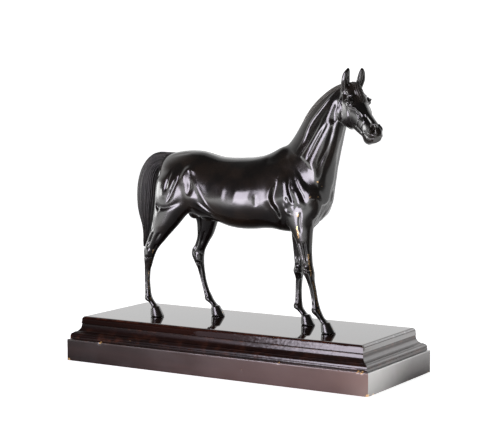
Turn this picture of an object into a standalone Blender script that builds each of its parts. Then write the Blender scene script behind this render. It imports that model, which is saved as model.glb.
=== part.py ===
"""A cast bronze horse standing on a stepped wooden plinth, as the assembly it is made from.

The bronze is seven castings (body, head and neck, four legs, tail) joined by spigots and cross pins.
A stud in each hoof passes through the plinth's top board to a washer and nut inside the hollow plinth.
Frame: millimetres in this file, metres in the scene. The horse faces +X, +Z is up, and the origin is
the centre of the plinth's footprint, on the surface it stands on.
"""

import math

import bmesh
import bpy
import numpy as np
from mathutils import Matrix, Vector

MM = 0.001
GAP = 0.3  # clearance that touching pieces keep between them

# ---- plinth: driving dimensions, in mm ----
PLINTH_LENGTH = 400.0
PLINTH_WIDTH = 158.0
SKIRT_HEIGHT = 25.8
SKIRT_ARRIS = 0.6  # small chamfer round the skirt's upper edge
FRAME_DEPTH = 20.0  # how far the skirt and moulding reach in from the skirt's outer face
LEDGE = 2.6  # the moulding stands this far behind the skirt's face
BEAD_HEIGHT = 3.1
OVOLO_WIDTH = 3.0
OVOLO_HEIGHT = 4.3
FILLET_HEIGHT = 0.8
COVE_WIDTH = 6.6
COVE_HEIGHT = 9.5
BOARD_THICKNESS = 8.7
NOSING_RADIUS = 3.8  # quarter round on the top board's edge
CORNER_BLOCK = 22.0
BOTTOM_BOARD_THICKNESS = 5.0
BAIZE_THICKNESS = 1.2
BAIZE_RECESS = 1.0  # the baize hangs this far above the standing surface

# ---- fasteners, in mm ----
STUD_RADIUS = 1.95
STUD_DEPTH_IN_HOOF = 7.0
STUD_BELOW_NUT = 2.5
WASHER_RADIUS = 6.0
WASHER_THICKNESS = 1.0
NUT_ACROSS_FLATS = 7.0
NUT_THICKNESS = 3.2
SCREW_SHANK_RADIUS = 1.7
SCREW_HEAD_RADIUS = 3.4
SCREW_LENGTH = 16.0
PIN_RADIUS = 1.2
PIN_RECESS = 0.8  # a pin's end lies this far under the skin
NECK_PIN_REACH = 15.0
TAIL_PIN_REACH = 5.0

# ---- castings: driving dimensions, in mm ----
WITHERS_HEIGHT = 204.0  # the height that sets the horse's scale
DRAWN_WITHERS_HEIGHT = 204.0  # the height that the outline tables below are drawn at
CASTING_WALL = 4.5
LEG_JOINT_HEIGHT = 104.0  # sole to the joint between a leg and the body, as drawn
HIND_SPIGOT_RADIUS = 5.0
FORE_SPIGOT_RADIUS = 4.2
LEG_SPIGOT_LENGTH = 11.0
NECK_SPIGOT_RADIUS = 8.2
NECK_SPIGOT_LENGTH = 16.0
NECK_CORE_RADIUS = 4.6
TAIL_SPIGOT_RADIUS = 3.0
TAIL_SPIGOT_LENGTH = 9.0
TAIL_JOINT_X = -115.0

# ---- meshing of the castings ----
VOXEL = 1.7
RING_POINTS = 24
STEPS_BETWEEN_ROWS = 3
FIGURE_FACE_SHARE = 0.085  # share of the remeshed faces that the castings keep
TAIL_FACE_SHARE = 0.22

PLINTH_HEIGHT = (
    SKIRT_HEIGHT + BEAD_HEIGHT + OVOLO_HEIGHT + FILLET_HEIGHT + COVE_HEIGHT + BOARD_THICKNESS
)
SCALE = WITHERS_HEIGHT / DRAWN_WITHERS_HEIGHT
BOARD_UNDERSIDE = PLINTH_HEIGHT - BOARD_THICKNESS

# Outline tables, in mm as drawn, heights above the hoof soles.
# Trunk, in upright cross-sections: x, underline, topline, half width, narrowing towards the top.
TRUNK = [
    (-113.5, 160, 178, 5, 0.0),
    (-111, 150, 186, 12, 0.0),
    (-106, 144, 191, 18, 0.05),
    (-98, 138, 194.5, 22.5, 0.1),
    (-85, 130, 197, 26.5, 0.15),
    (-70, 124, 198.5, 29, 0.2),
    (-55, 119, 197.8, 29.5, 0.2),
    (-42, 117.5, 194.8, 29.5, 0.2),
    (-30, 114.5, 192.2, 30.5, 0.2),
    (-15, 110.5, 191.5, 32, 0.22),
    (0, 109, 192, 33, 0.25),
    (15, 109.5, 193, 32.5, 0.25),
    (30, 111, 196, 30, 0.3),
    (42, 111, 201.5, 27.5, 0.38),
    (52, 109.5, 206.5, 26, 0.42),
    (65, 109, 207, 25, 0.4),
    (80, 112, 203, 24, 0.3),
    (92, 118, 196, 21.5, 0.2),
    (102, 127, 186, 17, 0.1),
    (108.5, 137, 176, 11, 0.0),
    (112, 147, 166, 5, 0.0),
]
# Neck, from the chest up: crest x and height, front x and height, half width, sideways shift.
NECK = [
    (42, 180, 100, 130, 15, 0),
    (46, 198, 111.5, 143, 20, 0),
    (57, 208, 115, 160, 19.5, 0),
    (66, 219, 117.5, 176, 17.5, 0),
    (77, 236, 120.5, 191, 15.3, -0.5),
    (89.5, 251.5, 124.5, 206, 13.4, -1.5),
    (103, 263.5, 128.5, 219, 12, -3),
    (117, 272.5, 132, 230, 11.2, -4.5),
    (131, 278, 135, 239, 10.4, -6),
]
# Head, from the nape to the lips, in its own upright plane: distance forward of the poll and height
# of the face line, the same for the jaw line, half width.
HEAD = [
    (-9, 275.5, -22, 264, 6.5),
    (0, 279.0, -20, 252, 10.5),
    (9, 276.5, -16.5, 240, 12.2),
    (16.5, 267, -10, 230.5, 13.2),
    (22.5, 257.5, -1.5, 226.5, 12.2),
    (29, 250.2, 7.5, 227, 9.8),
    (35.5, 244.5, 15.5, 223.4, 7.8),
    (43, 238.8, 22.5, 219.4, 6.8),
    (49, 233.8, 28.0, 213.6, 7.4),
    (54.5, 229, 35.5, 211.8, 7.4),
    (55.5, 221.5, 45, 213.2, 5.2),
]
POLL = (141.5, -6.0)  # x and y of the poll
HEAD_TURN = 30.0  # degrees that the head turns to the horse's right
# Ear: distance forward of the poll, height, sideways distance, half depth, half width.
EAR = [
    (-3, 267, 7.2, 4.6, 4.6),
    (-1, 274, 7.8, 5.2, 5.2),
    (1.5, 282, 8.6, 4.6, 5.2),
    (4, 289, 8.6, 3.0, 3.9),
    (5.5, 295, 8.2, 0.8, 1.1),
]
# Brow and eyeball on each side: distance forward of the poll, height, sideways distance, radius.
BROW = (16, 258.5, 9.6, 4.6)
# Legs in level cross-sections: height, x, half depth, sideways distance, half width.
RIGHT_HIND = [
    (184, -80, 16, 9, 7),
    (174, -80, 25, 12.5, 12),
    (162, -82.5, 30, 15, 14.5),
    (146, -84.5, 29.5, 16.5, 14.5),
    (132, -87.5, 26.5, 17.5, 13.6),
    (120, -93.5, 21.5, 18.8, 12),
    (110, -98.2, 17, 19.6, 10.6),
    (104, -101.8, 14.8, 20, 9.4),
    (97.5, -106.5, 13.1, 20.3, 8.4),
    (91.5, -110.5, 11.5, 20.6, 7.3),
    (85.5, -114.9, 10.1, 20.8, 6.3),
    (79.5, -118.5, 9.0, 21, 5.6),
    (73, -120.2, 7.2, 21, 5.3),
    (67, -121.3, 5.9, 21, 5.1),
    (61, -122, 4.7, 21, 4.3),
    (55, -123, 3.8, 21, 3.5),
    (43, -123.5, 3.4, 21, 3.2),
    (31, -122.8, 3.6, 21, 3.3),
    (25, -122.2, 4.1, 21, 3.8),
    (20.5, -121, 4.6, 21, 4.3),
    (16.5, -117.4, 4.1, 20.8, 3.9),
    (12.5, -114.0, 4.3, 20.6, 4.2),
    (9, -112.6, 4.2, 20.5, 4.1),
]
LEFT_HIND = [
    (184, -77, 16, 9, 7),
    (174, -77, 26, 12.5, 12),
    (162, -77, 31, 15, 14.5),
    (146, -74.5, 29, 16.8, 14.3),
    (132, -69, 23, 18.8, 12.8),
    (120, -66, 17, 20, 11.3),
    (112, -65.5, 13.6, 20.8, 10.2),
    (102, -67.3, 11.4, 21.5, 9),
    (96, -68.8, 10.1, 21.8, 8),
    (90, -71.6, 8.8, 22, 7),
    (83.5, -74.9, 8.2, 22, 6.1),
    (77.5, -78.5, 8.9, 22, 5.5),
    (71.2, -79.3, 8.4, 22, 5.3),
    (65, -78.1, 6.8, 22, 5.1),
    (59.3, -76.4, 5.4, 22, 4.4),
    (53.4, -74.6, 4.4, 22, 3.6),
    (41.5, -71.6, 3.7, 22, 3.2),
    (29.6, -67.7, 3.9, 22, 3.3),
    (23.8, -65.2, 4.7, 22, 4),
    (19, -63, 5.0, 22, 4.4),
    (15.0, -58.8, 4.5, 21.6, 3.9),
    (11.5, -55.0, 4.5, 21.2, 4.2),
    (8, -53.2, 4.2, 21, 4.1),
]
LEFT_FORE = [
    (182, 64, 12, 10, 7),
    (172, 70, 21, 12.5, 10.5),
    (158, 77, 26, 14, 12),
    (143, 80, 26, 15, 12.2),
    (130, 77.5, 23, 16.3, 11.6),
    (120, 71.5, 18, 17.8, 10.4),
    (112, 66, 14, 19, 9),
    (103, 62, 10.5, 20, 7.8),
    (91.6, 60.3, 7.8, 21, 6.6),
    (80, 60, 6.4, 21.5, 5.7),
    (70, 60, 5.6, 21.8, 5.4),
    (64.5, 59.8, 5.9, 22, 5.9),
    (60, 59.4, 5.9, 22, 6.0),
    (55, 59.5, 4.9, 22, 4.9),
    (50.5, 59.6, 4.2, 22, 4),
    (39, 59.4, 3.9, 21.6, 3.4),
    (28, 59.8, 4.3, 20.8, 3.6),
    (22, 60.0, 5.2, 20.2, 4.4),
    (18.5, 61.2, 5.4, 19.8, 4.6),
    (15, 65.0, 4.6, 19.3, 4.0),
    (11, 69.0, 4.5, 18.8, 4.2),
    (8, 71.0, 4.2, 18.5, 4.1),
]
RIGHT_FORE = [
    (182, 63, 12, 10, 7),
    (172, 70, 22, 12.5, 10.5),
    (158, 79, 27, 14, 12),
    (143, 83, 26, 15, 12.2),
    (130, 83.5, 22.5, 16.3, 11.5),
    (120, 84, 16.8, 17.6, 10.2),
    (112, 86, 13.5, 18.6, 8.8),
    (103, 88.7, 10.4, 19.2, 7.7),
    (92, 91, 7.9, 19.6, 6.6),
    (81, 92.9, 6.8, 20, 5.8),
    (75.5, 93.9, 6.5, 20, 5.7),
    (70, 94.9, 6.8, 20, 6.1),
    (64.5, 96, 6.5, 20, 6.0),
    (59, 97.5, 5.2, 20, 4.9),
    (53.5, 99.3, 4.5, 20, 4),
    (47.7, 101, 4.1, 20, 3.6),
    (36.6, 103.3, 3.9, 20, 3.4),
    (31, 104.3, 4.5, 20, 3.8),
    (25.5, 105.4, 5.2, 20, 4.5),
    (20.5, 107.8, 5.3, 20, 4.6),
    (16.5, 111, 4.5, 19.8, 4.1),
    (12.0, 115.4, 4.5, 19.6, 4.2),
    (8.5, 117.4, 4.2, 19.5, 4.1),
]
# Legs: outline, side (+1 left, -1 right), the hoof's top x and sole x, the spigot's radius.
LEGS = {
    "right_hind_leg": (RIGHT_HIND, -1, -113.2, -109.6, HIND_SPIGOT_RADIUS),
    "left_hind_leg": (LEFT_HIND, 1, -54.4, -50.0, HIND_SPIGOT_RADIUS),
    "left_fore_leg": (LEFT_FORE, 1, 70.4, 74.0, FORE_SPIGOT_RADIUS),
    "right_fore_leg": (RIGHT_FORE, -1, 116.6, 121.0, FORE_SPIGOT_RADIUS),
}
HOOF_HEIGHT = 11.6
HOOF_TOP = (5.1, 5.0)  # half depth and half width at the coronet
HOOF_SOLE = (8.7, 7.4)
CORONET_SLOPE = 0.22  # the coronet rises this much per mm towards the toe
# Tail, along its middle: x, height, half thickness, half width.
TAIL = [
    (-100, 183.5, 5, 4.5),
    (-109, 186.5, 6.3, 5.5),
    (-117.5, 186, 8, 6.5),
    (-125.5, 181.5, 9.7, 7.8),
    (-132, 172.5, 11.0, 8.8),
    (-135.8, 161, 11.9, 9.4),
    (-137.4, 148, 12.4, 9.6),
    (-138.4, 131, 11.0, 9.2),
    (-138.6, 118.5, 8.6, 7.8),
    (-138.2, 106, 5.4, 6),
    (-138.6, 96, 3.7, 4.4),
    (-140.4, 86, 2.4, 2.8),
    (-142.5, 80, 1.2, 1.4),
]
# Sheath and scrotum between the hind legs: x, height, half length, half width, half height.
UNDER_BODY = [(-49, 119.5, 12, 5, 5), (-69, 124, 9, 8, 7.5)]


# ---- small helpers ----


def clear_scene():
    for obj in list(bpy.data.objects):
        bpy.data.objects.remove(obj, do_unlink=True)


def material(name, colour, roughness, metallic=0.0):
    made = bpy.data.materials.new(name)
    made.use_nodes = True
    shader = made.node_tree.nodes["Principled BSDF"]
    shader.inputs["Base Color"].default_value = (*colour, 1.0)
    shader.inputs["Roughness"].default_value = roughness
    shader.inputs["Metallic"].default_value = metallic
    return made


def object_from(name, verts, faces, paint=None, helper=False):
    """An object from points in mm; a helper is left out of the render."""
    mesh = bpy.data.meshes.new(name)
    mesh.from_pydata([Vector(v) * MM for v in verts], [], faces)
    mesh.validate()
    work = bmesh.new()
    work.from_mesh(mesh)
    bmesh.ops.recalc_face_normals(work, faces=work.faces)
    work.to_mesh(mesh)
    work.free()
    obj = bpy.data.objects.new(name, mesh)
    bpy.context.scene.collection.objects.link(obj)
    if paint:
        mesh.materials.append(paint)
    if helper:
        hide(obj)
    return obj


def hide(obj):
    obj.hide_render = True
    obj.display_type = "WIRE"
    return obj


def smooth_rows(rows, steps=STEPS_BETWEEN_ROWS):
    """The rows with more rows between them, on a Catmull-Rom curve through every column."""
    table = np.array(rows, float)
    padded = np.vstack([2 * table[0] - table[1], table, 2 * table[-1] - table[-2]])
    made = []
    for i in range(1, len(padded) - 2):
        before, here, after, beyond = padded[i - 1 : i + 3]
        for t in np.arange(steps) / steps:
            made.append(
                0.5
                * (
                    2 * here
                    + (after - before) * t
                    + (2 * before - 5 * here + 4 * after - beyond) * t**2
                    + (3 * here - before - 3 * after + beyond) * t**3
                )
            )
    made.append(table[-1])
    return np.array(made)


def loft(rings):
    """Points and faces of a closed body through rings of equally many points."""
    count = len(rings[0])
    verts = [tuple(p) for ring in rings for p in ring]
    faces = [
        (
            i * count + j,
            i * count + (j + 1) % count,
            (i + 1) * count + (j + 1) % count,
            (i + 1) * count + j,
        )
        for i in range(len(rings) - 1)
        for j in range(count)
    ]
    faces.append(tuple(reversed(range(count))))
    faces.append(tuple(range((len(rings) - 1) * count, len(rings) * count)))
    return verts, faces


def ellipse_ring(centre, across, along, narrowing=0.0, count=RING_POINTS):
    """A ring round centre: across is its sideways half axis, along its other half axis.

    Narrowing draws the ring in towards the positive end of along."""
    ring = []
    for j in range(count):
        angle = 2 * math.pi * j / count
        rise = math.sin(angle)
        width = math.cos(angle) * (1 - narrowing * max(rise, 0.0) ** 1.5)
        ring.append(Vector(centre) + Vector(across) * width + Vector(along) * rise)
    return ring


def box(name, low, high, paint=None, helper=False):
    verts = [(x, y, z) for x in (low[0], high[0]) for y in (low[1], high[1]) for z in (low[2], high[2])]
    faces = [(0, 1, 3, 2), (4, 6, 7, 5), (0, 4, 5, 1), (2, 3, 7, 6), (0, 2, 6, 4), (1, 5, 7, 3)]
    return object_from(name, verts, faces, paint, helper)


def lathe(name, foot, line, profile, count=20, paint=None, helper=False):
    """A body turned round a line from foot: the profile holds (distance along, radius) pairs."""
    foot, line = Vector(foot), Vector(line).normalized()
    side = line.orthogonal().normalized()
    other = line.cross(side)
    rings = [
        ellipse_ring(foot + line * along, side * radius, other * radius, count=count)
        for along, radius in profile
    ]
    return object_from(name, *loft(rings), paint, helper)


def rod(name, start, end, radius, count=20, paint=None, helper=False):
    line = Vector(end) - Vector(start)
    return lathe(name, start, line, [(0, radius), (line.length, radius)], count, paint, helper)


def boolean(obj, operation, *others):
    for other in others:
        step = obj.modifiers.new(f"{operation.lower()} {other.name}", "BOOLEAN")
        step.operation = operation
        step.object = other
        step.solver = "EXACT"


def fixed(obj):
    """Applies the object's modifiers, so that what follows starts from a plain mesh."""
    graph = bpy.context.evaluated_depsgraph_get()
    mesh = bpy.data.meshes.new_from_object(obj.evaluated_get(graph))
    obj.modifiers.clear()
    obj.data = mesh
    return obj


def turned(forward, height, sideways):
    """A point of the head's own plane in the figure's frame, as drawn."""
    turn = math.radians(HEAD_TURN)
    return Vector(
        (
            POLL[0] + forward * math.cos(turn) + sideways * math.sin(turn),
            POLL[1] - forward * math.sin(turn) + sideways * math.cos(turn),
            height,
        )
    )


def placed(point):
    """A point of the figure, as drawn, in the object's frame in mm."""
    return Vector(point) * SCALE + Vector((0, 0, PLINTH_HEIGHT + GAP))


def placed_rings(rings):
    return [[placed(p) for p in ring] for ring in rings]


# ---- the figure's forms, as drawn ----


def trunk_rings(inset=0.0, first=None, last=None):
    rings = []
    for x, low, high, half, narrowing in smooth_rows(TRUNK):
        if first is not None and not first <= x <= last:
            continue
        middle, rise = (low + high) / 2, (high - low) / 2 - inset
        rings.append(
            ellipse_ring((x, 0, middle), (0, half - inset, 0), (0, 0, rise), narrowing)
        )
    return rings


def neck_rings():
    rings = []
    for crest_x, crest_z, front_x, front_z, half, shift in smooth_rows(NECK):
        crest = Vector((crest_x, shift, crest_z))
        front = Vector((front_x, shift, front_z))
        rings.append(ellipse_ring((crest + front) / 2, (0, half, 0), (crest - front) / 2, 0.45))
    return rings


def head_rings():
    side = turned(0, 0, 1) - turned(0, 0, 0)
    rings = []
    for face_s, face_z, jaw_s, jaw_z, half in smooth_rows(HEAD):
        face, jaw = turned(face_s, face_z, 0), turned(jaw_s, jaw_z, 0)
        rings.append(ellipse_ring((face + jaw) / 2, side * half, (jaw - face) / 2, 0.25))
    return rings


def ear_rings(sign):
    side = turned(0, 0, 1) - turned(0, 0, 0)
    ahead = turned(1, 0, 0) - turned(0, 0, 0)
    return [
        ellipse_ring(turned(s, z, sign * y), side * half, ahead * depth, count=12)
        for s, z, y, depth, half in smooth_rows(EAR, 2)
    ]


def brow_rings(sign):
    s, z, y, radius = BROW
    side = turned(0, 0, 1) - turned(0, 0, 0)
    ahead = turned(1, 0, 0) - turned(0, 0, 0)
    return [
        ellipse_ring(
            turned(s, z, sign * y) + side * radius * math.cos(a),
            ahead * radius * math.sin(a),
            Vector((0, 0, radius * math.sin(a))),
            count=12,
        )
        for a in np.linspace(0.25, math.pi - 0.25, 6)
    ]


def leg_rings(rows, side):
    return [
        ellipse_ring((x, side * y, z), (0, half, 0), (depth, 0, 0))
        for z, x, depth, y, half in smooth_rows(rows)
    ]


def tail_rings():
    rows = smooth_rows(TAIL, 2)
    path = np.gradient(rows[:, :2], axis=0)
    rings = []
    for (x, z, thick, half), (dx, dz) in zip(rows, path):
        across = Vector((-dz, 0, dx)).normalized()
        rings.append(ellipse_ring((x, 0, z), (0, half, 0), across * thick, count=18))
    return rings


def ball_rings(x, z, long, half, tall):
    return [
        ellipse_ring(
            (x + long * math.cos(a), 0, z),
            (0, half * math.sin(a), 0),
            (0, 0, tall * math.sin(a)),
            count=14,
        )
        for a in np.linspace(0.25, math.pi - 0.25, 7)
    ]


def cast_form(name, parts, voxel, share, rounds):
    """One closed skin round several overlapping forms: remeshed, softened and thinned out."""
    verts, faces = [], []
    for rings in parts:
        more, ends = loft(placed_rings(rings))
        faces += [tuple(i + len(verts) for i in face) for face in ends]
        verts += more
    obj = object_from(name, verts, faces, helper=True)
    remesh = obj.modifiers.new("one skin", "REMESH")
    remesh.mode = "VOXEL"
    remesh.voxel_size = voxel * SCALE * MM
    soften = obj.modifiers.new("soften", "SMOOTH")
    soften.factor = 0.5
    soften.iterations = rounds
    thin = obj.modifiers.new("fewer faces", "DECIMATE")
    thin.ratio = share
    return fixed(obj)


# ---- the bronze castings ----


def neck_joint():
    """A point on the neck's joint, and the neck's direction there, as drawn."""
    middles = [
        (Vector((row[0], row[5], row[1])) + Vector((row[2], row[5], row[3]))) / 2 for row in NECK
    ]
    line = (middles[6] - middles[3]).normalized()
    return (middles[4] + middles[5]) / 2, line


def half_space(name, point, line, side):
    """A large block on one side of a plane and GAP / 2 past it; side is +1 or -1 along line."""
    reach = PLINTH_LENGTH
    turn = line.to_track_quat("Z", "Y").to_matrix().to_4x4()
    low, high = (-GAP / 2, reach) if side > 0 else (-reach, GAP / 2)
    block = box(name, (-reach, -reach, low), (reach, reach, high), helper=True)
    block.data.transform(Matrix.Translation(Vector(point) * MM) @ turn)
    return block


def leg_joint_centre(rows, side):
    """Where a leg's middle line passes its joint, in mm."""
    table = np.array(smooth_rows(rows))[::-1]
    x, y = (np.interp(LEG_JOINT_HEIGHT, table[:, 0], table[:, i]) for i in (1, 3))
    return placed((x, side * y, LEG_JOINT_HEIGHT))


def hoof_middle(rows, side, top_x, sole_x):
    """The middle of a hoof at its sole, in mm."""
    return placed(((top_x + 2 * sole_x) / 3, side * rows[-1][3], 0))


def hoof(name, rows, side, top_x, sole_x):
    y = side * rows[-1][3]
    rings = []
    for share in (0.0, 0.5, 0.9, 1.0):
        x = sole_x + (top_x - sole_x) * share
        depth, half = (s + (t - s) * share for s, t in zip(HOOF_SOLE, HOOF_TOP))
        if share == 1.0:
            depth, half = depth - 0.8, half - 0.8
        rise = depth * CORONET_SLOPE * share
        rings.append(ellipse_ring((x, y, HOOF_HEIGHT * share), (0, half, 0), (depth, 0, rise)))
    return object_from(name, *loft(placed_rings(rings)), helper=True)


def cross_pin(name, centre, along, inward, outward, paint):
    """A pin through a joint, and the hole drilled for it from the outside; along points outwards."""
    along = Vector(along).normalized()
    pin = rod(name, centre - along * inward, centre + along * outward, PIN_RADIUS, 12, paint)
    hole = rod(
        f"{name} hole",
        centre - along * (inward + GAP),
        centre + along * (outward + CASTING_WALL * 2),
        PIN_RADIUS + GAP,
        12,
        helper=True,
    )
    return pin, hole


def skin_at(rows, height):
    """How far a leg's outer face stands from the figure's middle plane, as drawn."""
    table = np.array(smooth_rows(rows))[::-1]
    return np.interp(height, table[:, 0], table[:, 3] + table[:, 4])


def make_castings(bronze, pin_bronze):
    figure_forms = [trunk_rings(), neck_rings(), head_rings()]
    figure_forms += [ear_rings(1), ear_rings(-1), brow_rings(1), brow_rings(-1)]
    figure_forms += [leg_rings(rows, side) for rows, side, *_ in LEGS.values()]
    figure_forms += [ball_rings(*ball) for ball in UNDER_BODY]
    figure_forms.append([ring for ring in tail_rings() if ring[0].x > TAIL_JOINT_X - 6])
    figure = cast_form("figure", figure_forms, VOXEL, FIGURE_FACE_SHARE, 5)

    body = bpy.data.objects.new("body", figure.data.copy())
    bpy.context.scene.collection.objects.link(body)
    body.data.materials.append(bronze)

    joint_z = placed((0, 0, LEG_JOINT_HEIGHT)).z
    reach = PLINTH_LENGTH
    boolean(
        body,
        "DIFFERENCE",
        box("below joints", (-reach, -reach, -reach), (reach, reach, joint_z + GAP / 2), helper=True),
    )

    # Neck joint: a hollow spigot under the head and neck, in a bore that opens into the body.
    neck_point, neck_line = neck_joint()
    neck_point = placed(neck_point)
    boolean(body, "DIFFERENCE", half_space("above neck joint", neck_point, neck_line, 1))
    cavity = object_from(
        "body cavity",
        *loft(placed_rings(trunk_rings(CASTING_WALL / SCALE, -92, 94))),
        helper=True,
    )
    neck_bore = rod(
        "neck bore",
        neck_point + neck_line * 2,
        neck_point - neck_line * 52 * SCALE,
        NECK_SPIGOT_RADIUS + GAP,
        24,
        helper=True,
    )
    boolean(body, "DIFFERENCE", cavity, neck_bore)

    head = bpy.data.objects.new("head_and_neck", figure.data.copy())
    bpy.context.scene.collection.objects.link(head)
    head.data.materials.append(bronze)
    neck_spigot = rod(
        "neck spigot",
        neck_point + neck_line * 3,
        neck_point - neck_line * NECK_SPIGOT_LENGTH,
        NECK_SPIGOT_RADIUS,
        24,
        helper=True,
    )
    neck_core = rod(
        "neck core",
        neck_point - neck_line * (NECK_SPIGOT_LENGTH + 2),
        neck_point + neck_line * 26 * SCALE,
        NECK_CORE_RADIUS,
        16,
        helper=True,
    )
    boolean(head, "DIFFERENCE", half_space("below neck joint", neck_point, neck_line, -1))
    boolean(head, "UNION", neck_spigot)
    boolean(head, "DIFFERENCE", neck_core)
    pin, hole = cross_pin(
        "neck_pin",
        neck_point - neck_line * NECK_SPIGOT_LENGTH / 2,
        (0, 1, 0),
        NECK_SPIGOT_RADIUS + 2,
        NECK_PIN_REACH * SCALE,
        pin_bronze,
    )
    boolean(head, "DIFFERENCE", hole)
    boolean(body, "DIFFERENCE", hole)

    # Leg joints: a spigot on each leg, in a blind socket of the body.
    for name, (rows, side, top_x, sole_x, radius) in LEGS.items():
        centre = leg_joint_centre(rows, side)
        top = centre + Vector((0, 0, LEG_SPIGOT_LENGTH))
        below = centre - Vector((0, 0, 3))
        socket = rod(f"{name} socket", below, top + Vector((0, 0, GAP)), radius + GAP, helper=True)
        spigot = rod(f"{name} spigot", below, top, radius, helper=True)
        pin_height = LEG_JOINT_HEIGHT + LEG_SPIGOT_LENGTH / 2 / SCALE
        pin, hole = cross_pin(
            f"{name}_pin",
            centre + Vector((0, 0, LEG_SPIGOT_LENGTH / 2)),
            (0, side, 0),
            radius + 1,
            skin_at(rows, pin_height) * SCALE - abs(centre.y) - PIN_RECESS,
            pin_bronze,
        )
        boolean(body, "DIFFERENCE", socket, hole)

        leg = bpy.data.objects.new(name, figure.data.copy())
        bpy.context.scene.collection.objects.link(leg)
        leg.data.materials.append(bronze)
        xs = [placed((row[1], 0, 0)).x for row in rows if row[0] < LEG_JOINT_HEIGHT + 10]
        margin = 22 * SCALE
        room = box(
            f"{name} room",
            (min(xs) - margin, min(0, side * reach), -reach),
            (max(xs) + margin, max(0, side * reach), joint_z - GAP / 2),
            helper=True,
        )
        boolean(leg, "INTERSECT", room)
        boolean(leg, "UNION", hoof(f"{name} hoof", rows, side, top_x, sole_x))
        sole = PLINTH_HEIGHT + GAP
        below_sole = box(
            f"{name} sole", (-reach, -reach, -reach), (reach, reach, sole), helper=True
        )
        boolean(leg, "DIFFERENCE", below_sole)
        boolean(leg, "UNION", spigot)
        stud_at = hoof_middle(rows, side, top_x, sole_x)
        stud_hole = rod(
            f"{name} stud hole",
            stud_at - Vector((0, 0, 5)),
            stud_at + Vector((0, 0, STUD_DEPTH_IN_HOOF + GAP)),
            STUD_RADIUS + GAP,
            16,
            helper=True,
        )
        boolean(leg, "DIFFERENCE", hole, stud_hole)

    # Tail joint: a spigot that runs forward into the dock.
    tail = cast_form("tail", [tail_rings()], VOXEL, TAIL_FACE_SHARE, 3)
    tail.hide_render = False
    tail.display_type = "TEXTURED"
    tail.data.materials.append(bronze)
    joint_x = placed((TAIL_JOINT_X, 0, 0)).x
    dock = placed((TAIL_JOINT_X, 0, 187.0))
    low, high = placed((0, 0, 172)).z, placed((0, 0, 215)).z
    boolean(
        body,
        "DIFFERENCE",
        box("behind dock", (-reach, -reach, low), (joint_x + GAP / 2, reach, high), helper=True),
    )
    boolean(
        tail,
        "DIFFERENCE",
        box("before dock", (joint_x - GAP / 2, -reach, -reach), (reach, reach, reach), helper=True),
    )
    back = Vector((1, 0, 0))
    tail_spigot = rod(
        "tail spigot", dock - back * 3, dock + back * TAIL_SPIGOT_LENGTH, TAIL_SPIGOT_RADIUS, 16, helper=True
    )
    tail_socket = rod(
        "tail socket",
        dock - back * 3,
        dock + back * (TAIL_SPIGOT_LENGTH + GAP),
        TAIL_SPIGOT_RADIUS + GAP,
        16,
        helper=True,
    )
    boolean(tail, "UNION", tail_spigot)
    boolean(body, "DIFFERENCE", tail_socket)
    pin, hole = cross_pin(
        "tail_pin",
        dock + back * TAIL_SPIGOT_LENGTH / 2,
        (0, 1, 0),
        TAIL_SPIGOT_RADIUS - 0.5,
        TAIL_PIN_REACH * SCALE,
        pin_bronze,
    )
    boolean(tail, "DIFFERENCE", hole)
    boolean(body, "DIFFERENCE", hole)


# ---- the plinth ----


def mitred_length(name, side, profile, paint):
    """One side of a frame: a profile of (inset, height) points swept along it, mitred at both ends."""
    along, across = (PLINTH_LENGTH, PLINTH_WIDTH) if side in "front back" else (PLINTH_WIDTH, PLINTH_LENGTH)
    rings = []
    for end in (-1, 1):
        ring = []
        for inset, height in profile:
            u = end * (along / 2 - inset - GAP / 2 * math.sqrt(2))
            v = -(across / 2 - inset)
            ring.append((u, v, height))
        rings.append(ring)
    turn = {"front": 0, "right": 90, "back": 180, "left": 270}[side]
    spin = Matrix.Rotation(math.radians(turn), 3, "Z")
    rings = [[spin @ Vector(p) for p in ring] for ring in rings]
    return object_from(name, *loft(rings), paint)


def skirt_profile():
    top = SKIRT_HEIGHT - GAP
    return [
        (0, 0),
        (0, top - SKIRT_ARRIS),
        (SKIRT_ARRIS, top),
        (FRAME_DEPTH, top),
        (FRAME_DEPTH, 0),
    ]


def moulding_profile():
    """Bead, ovolo, fillet and cove, from the skirt up to the top board."""
    base = SKIRT_HEIGHT
    bead_top = base + BEAD_HEIGHT
    ovolo_top = bead_top + OVOLO_HEIGHT
    cove_foot = ovolo_top + FILLET_HEIGHT
    points = [(LEDGE, base), (LEDGE, bead_top)]
    points += [
        (
            LEDGE + OVOLO_WIDTH * (1 - math.cos(a)),
            bead_top + OVOLO_HEIGHT * math.sin(a),
        )
        for a in np.linspace(0, math.pi / 2, 5)[1:]
    ]
    foot = LEDGE + OVOLO_WIDTH
    points.append((foot + 0.4, cove_foot))
    points += [
        (
            foot + 0.4 + COVE_WIDTH * math.sin(a),
            cove_foot + COVE_HEIGHT * (1 - math.cos(a)) - GAP * (1 - math.cos(a)),
        )
        for a in np.linspace(0, math.pi / 2, 7)[1:]
    ]
    points += [(FRAME_DEPTH, BOARD_UNDERSIDE - GAP), (FRAME_DEPTH, base)]
    return points


def board_inset():
    return LEDGE + OVOLO_WIDTH + COVE_WIDTH


def rectangle_ring(inset, z, corner=0.0):
    x, y = PLINTH_LENGTH / 2 - inset, PLINTH_WIDTH / 2 - inset
    return [(-x, -y, z), (x, -y, z), (x, y, z), (-x, y, z)]


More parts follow.
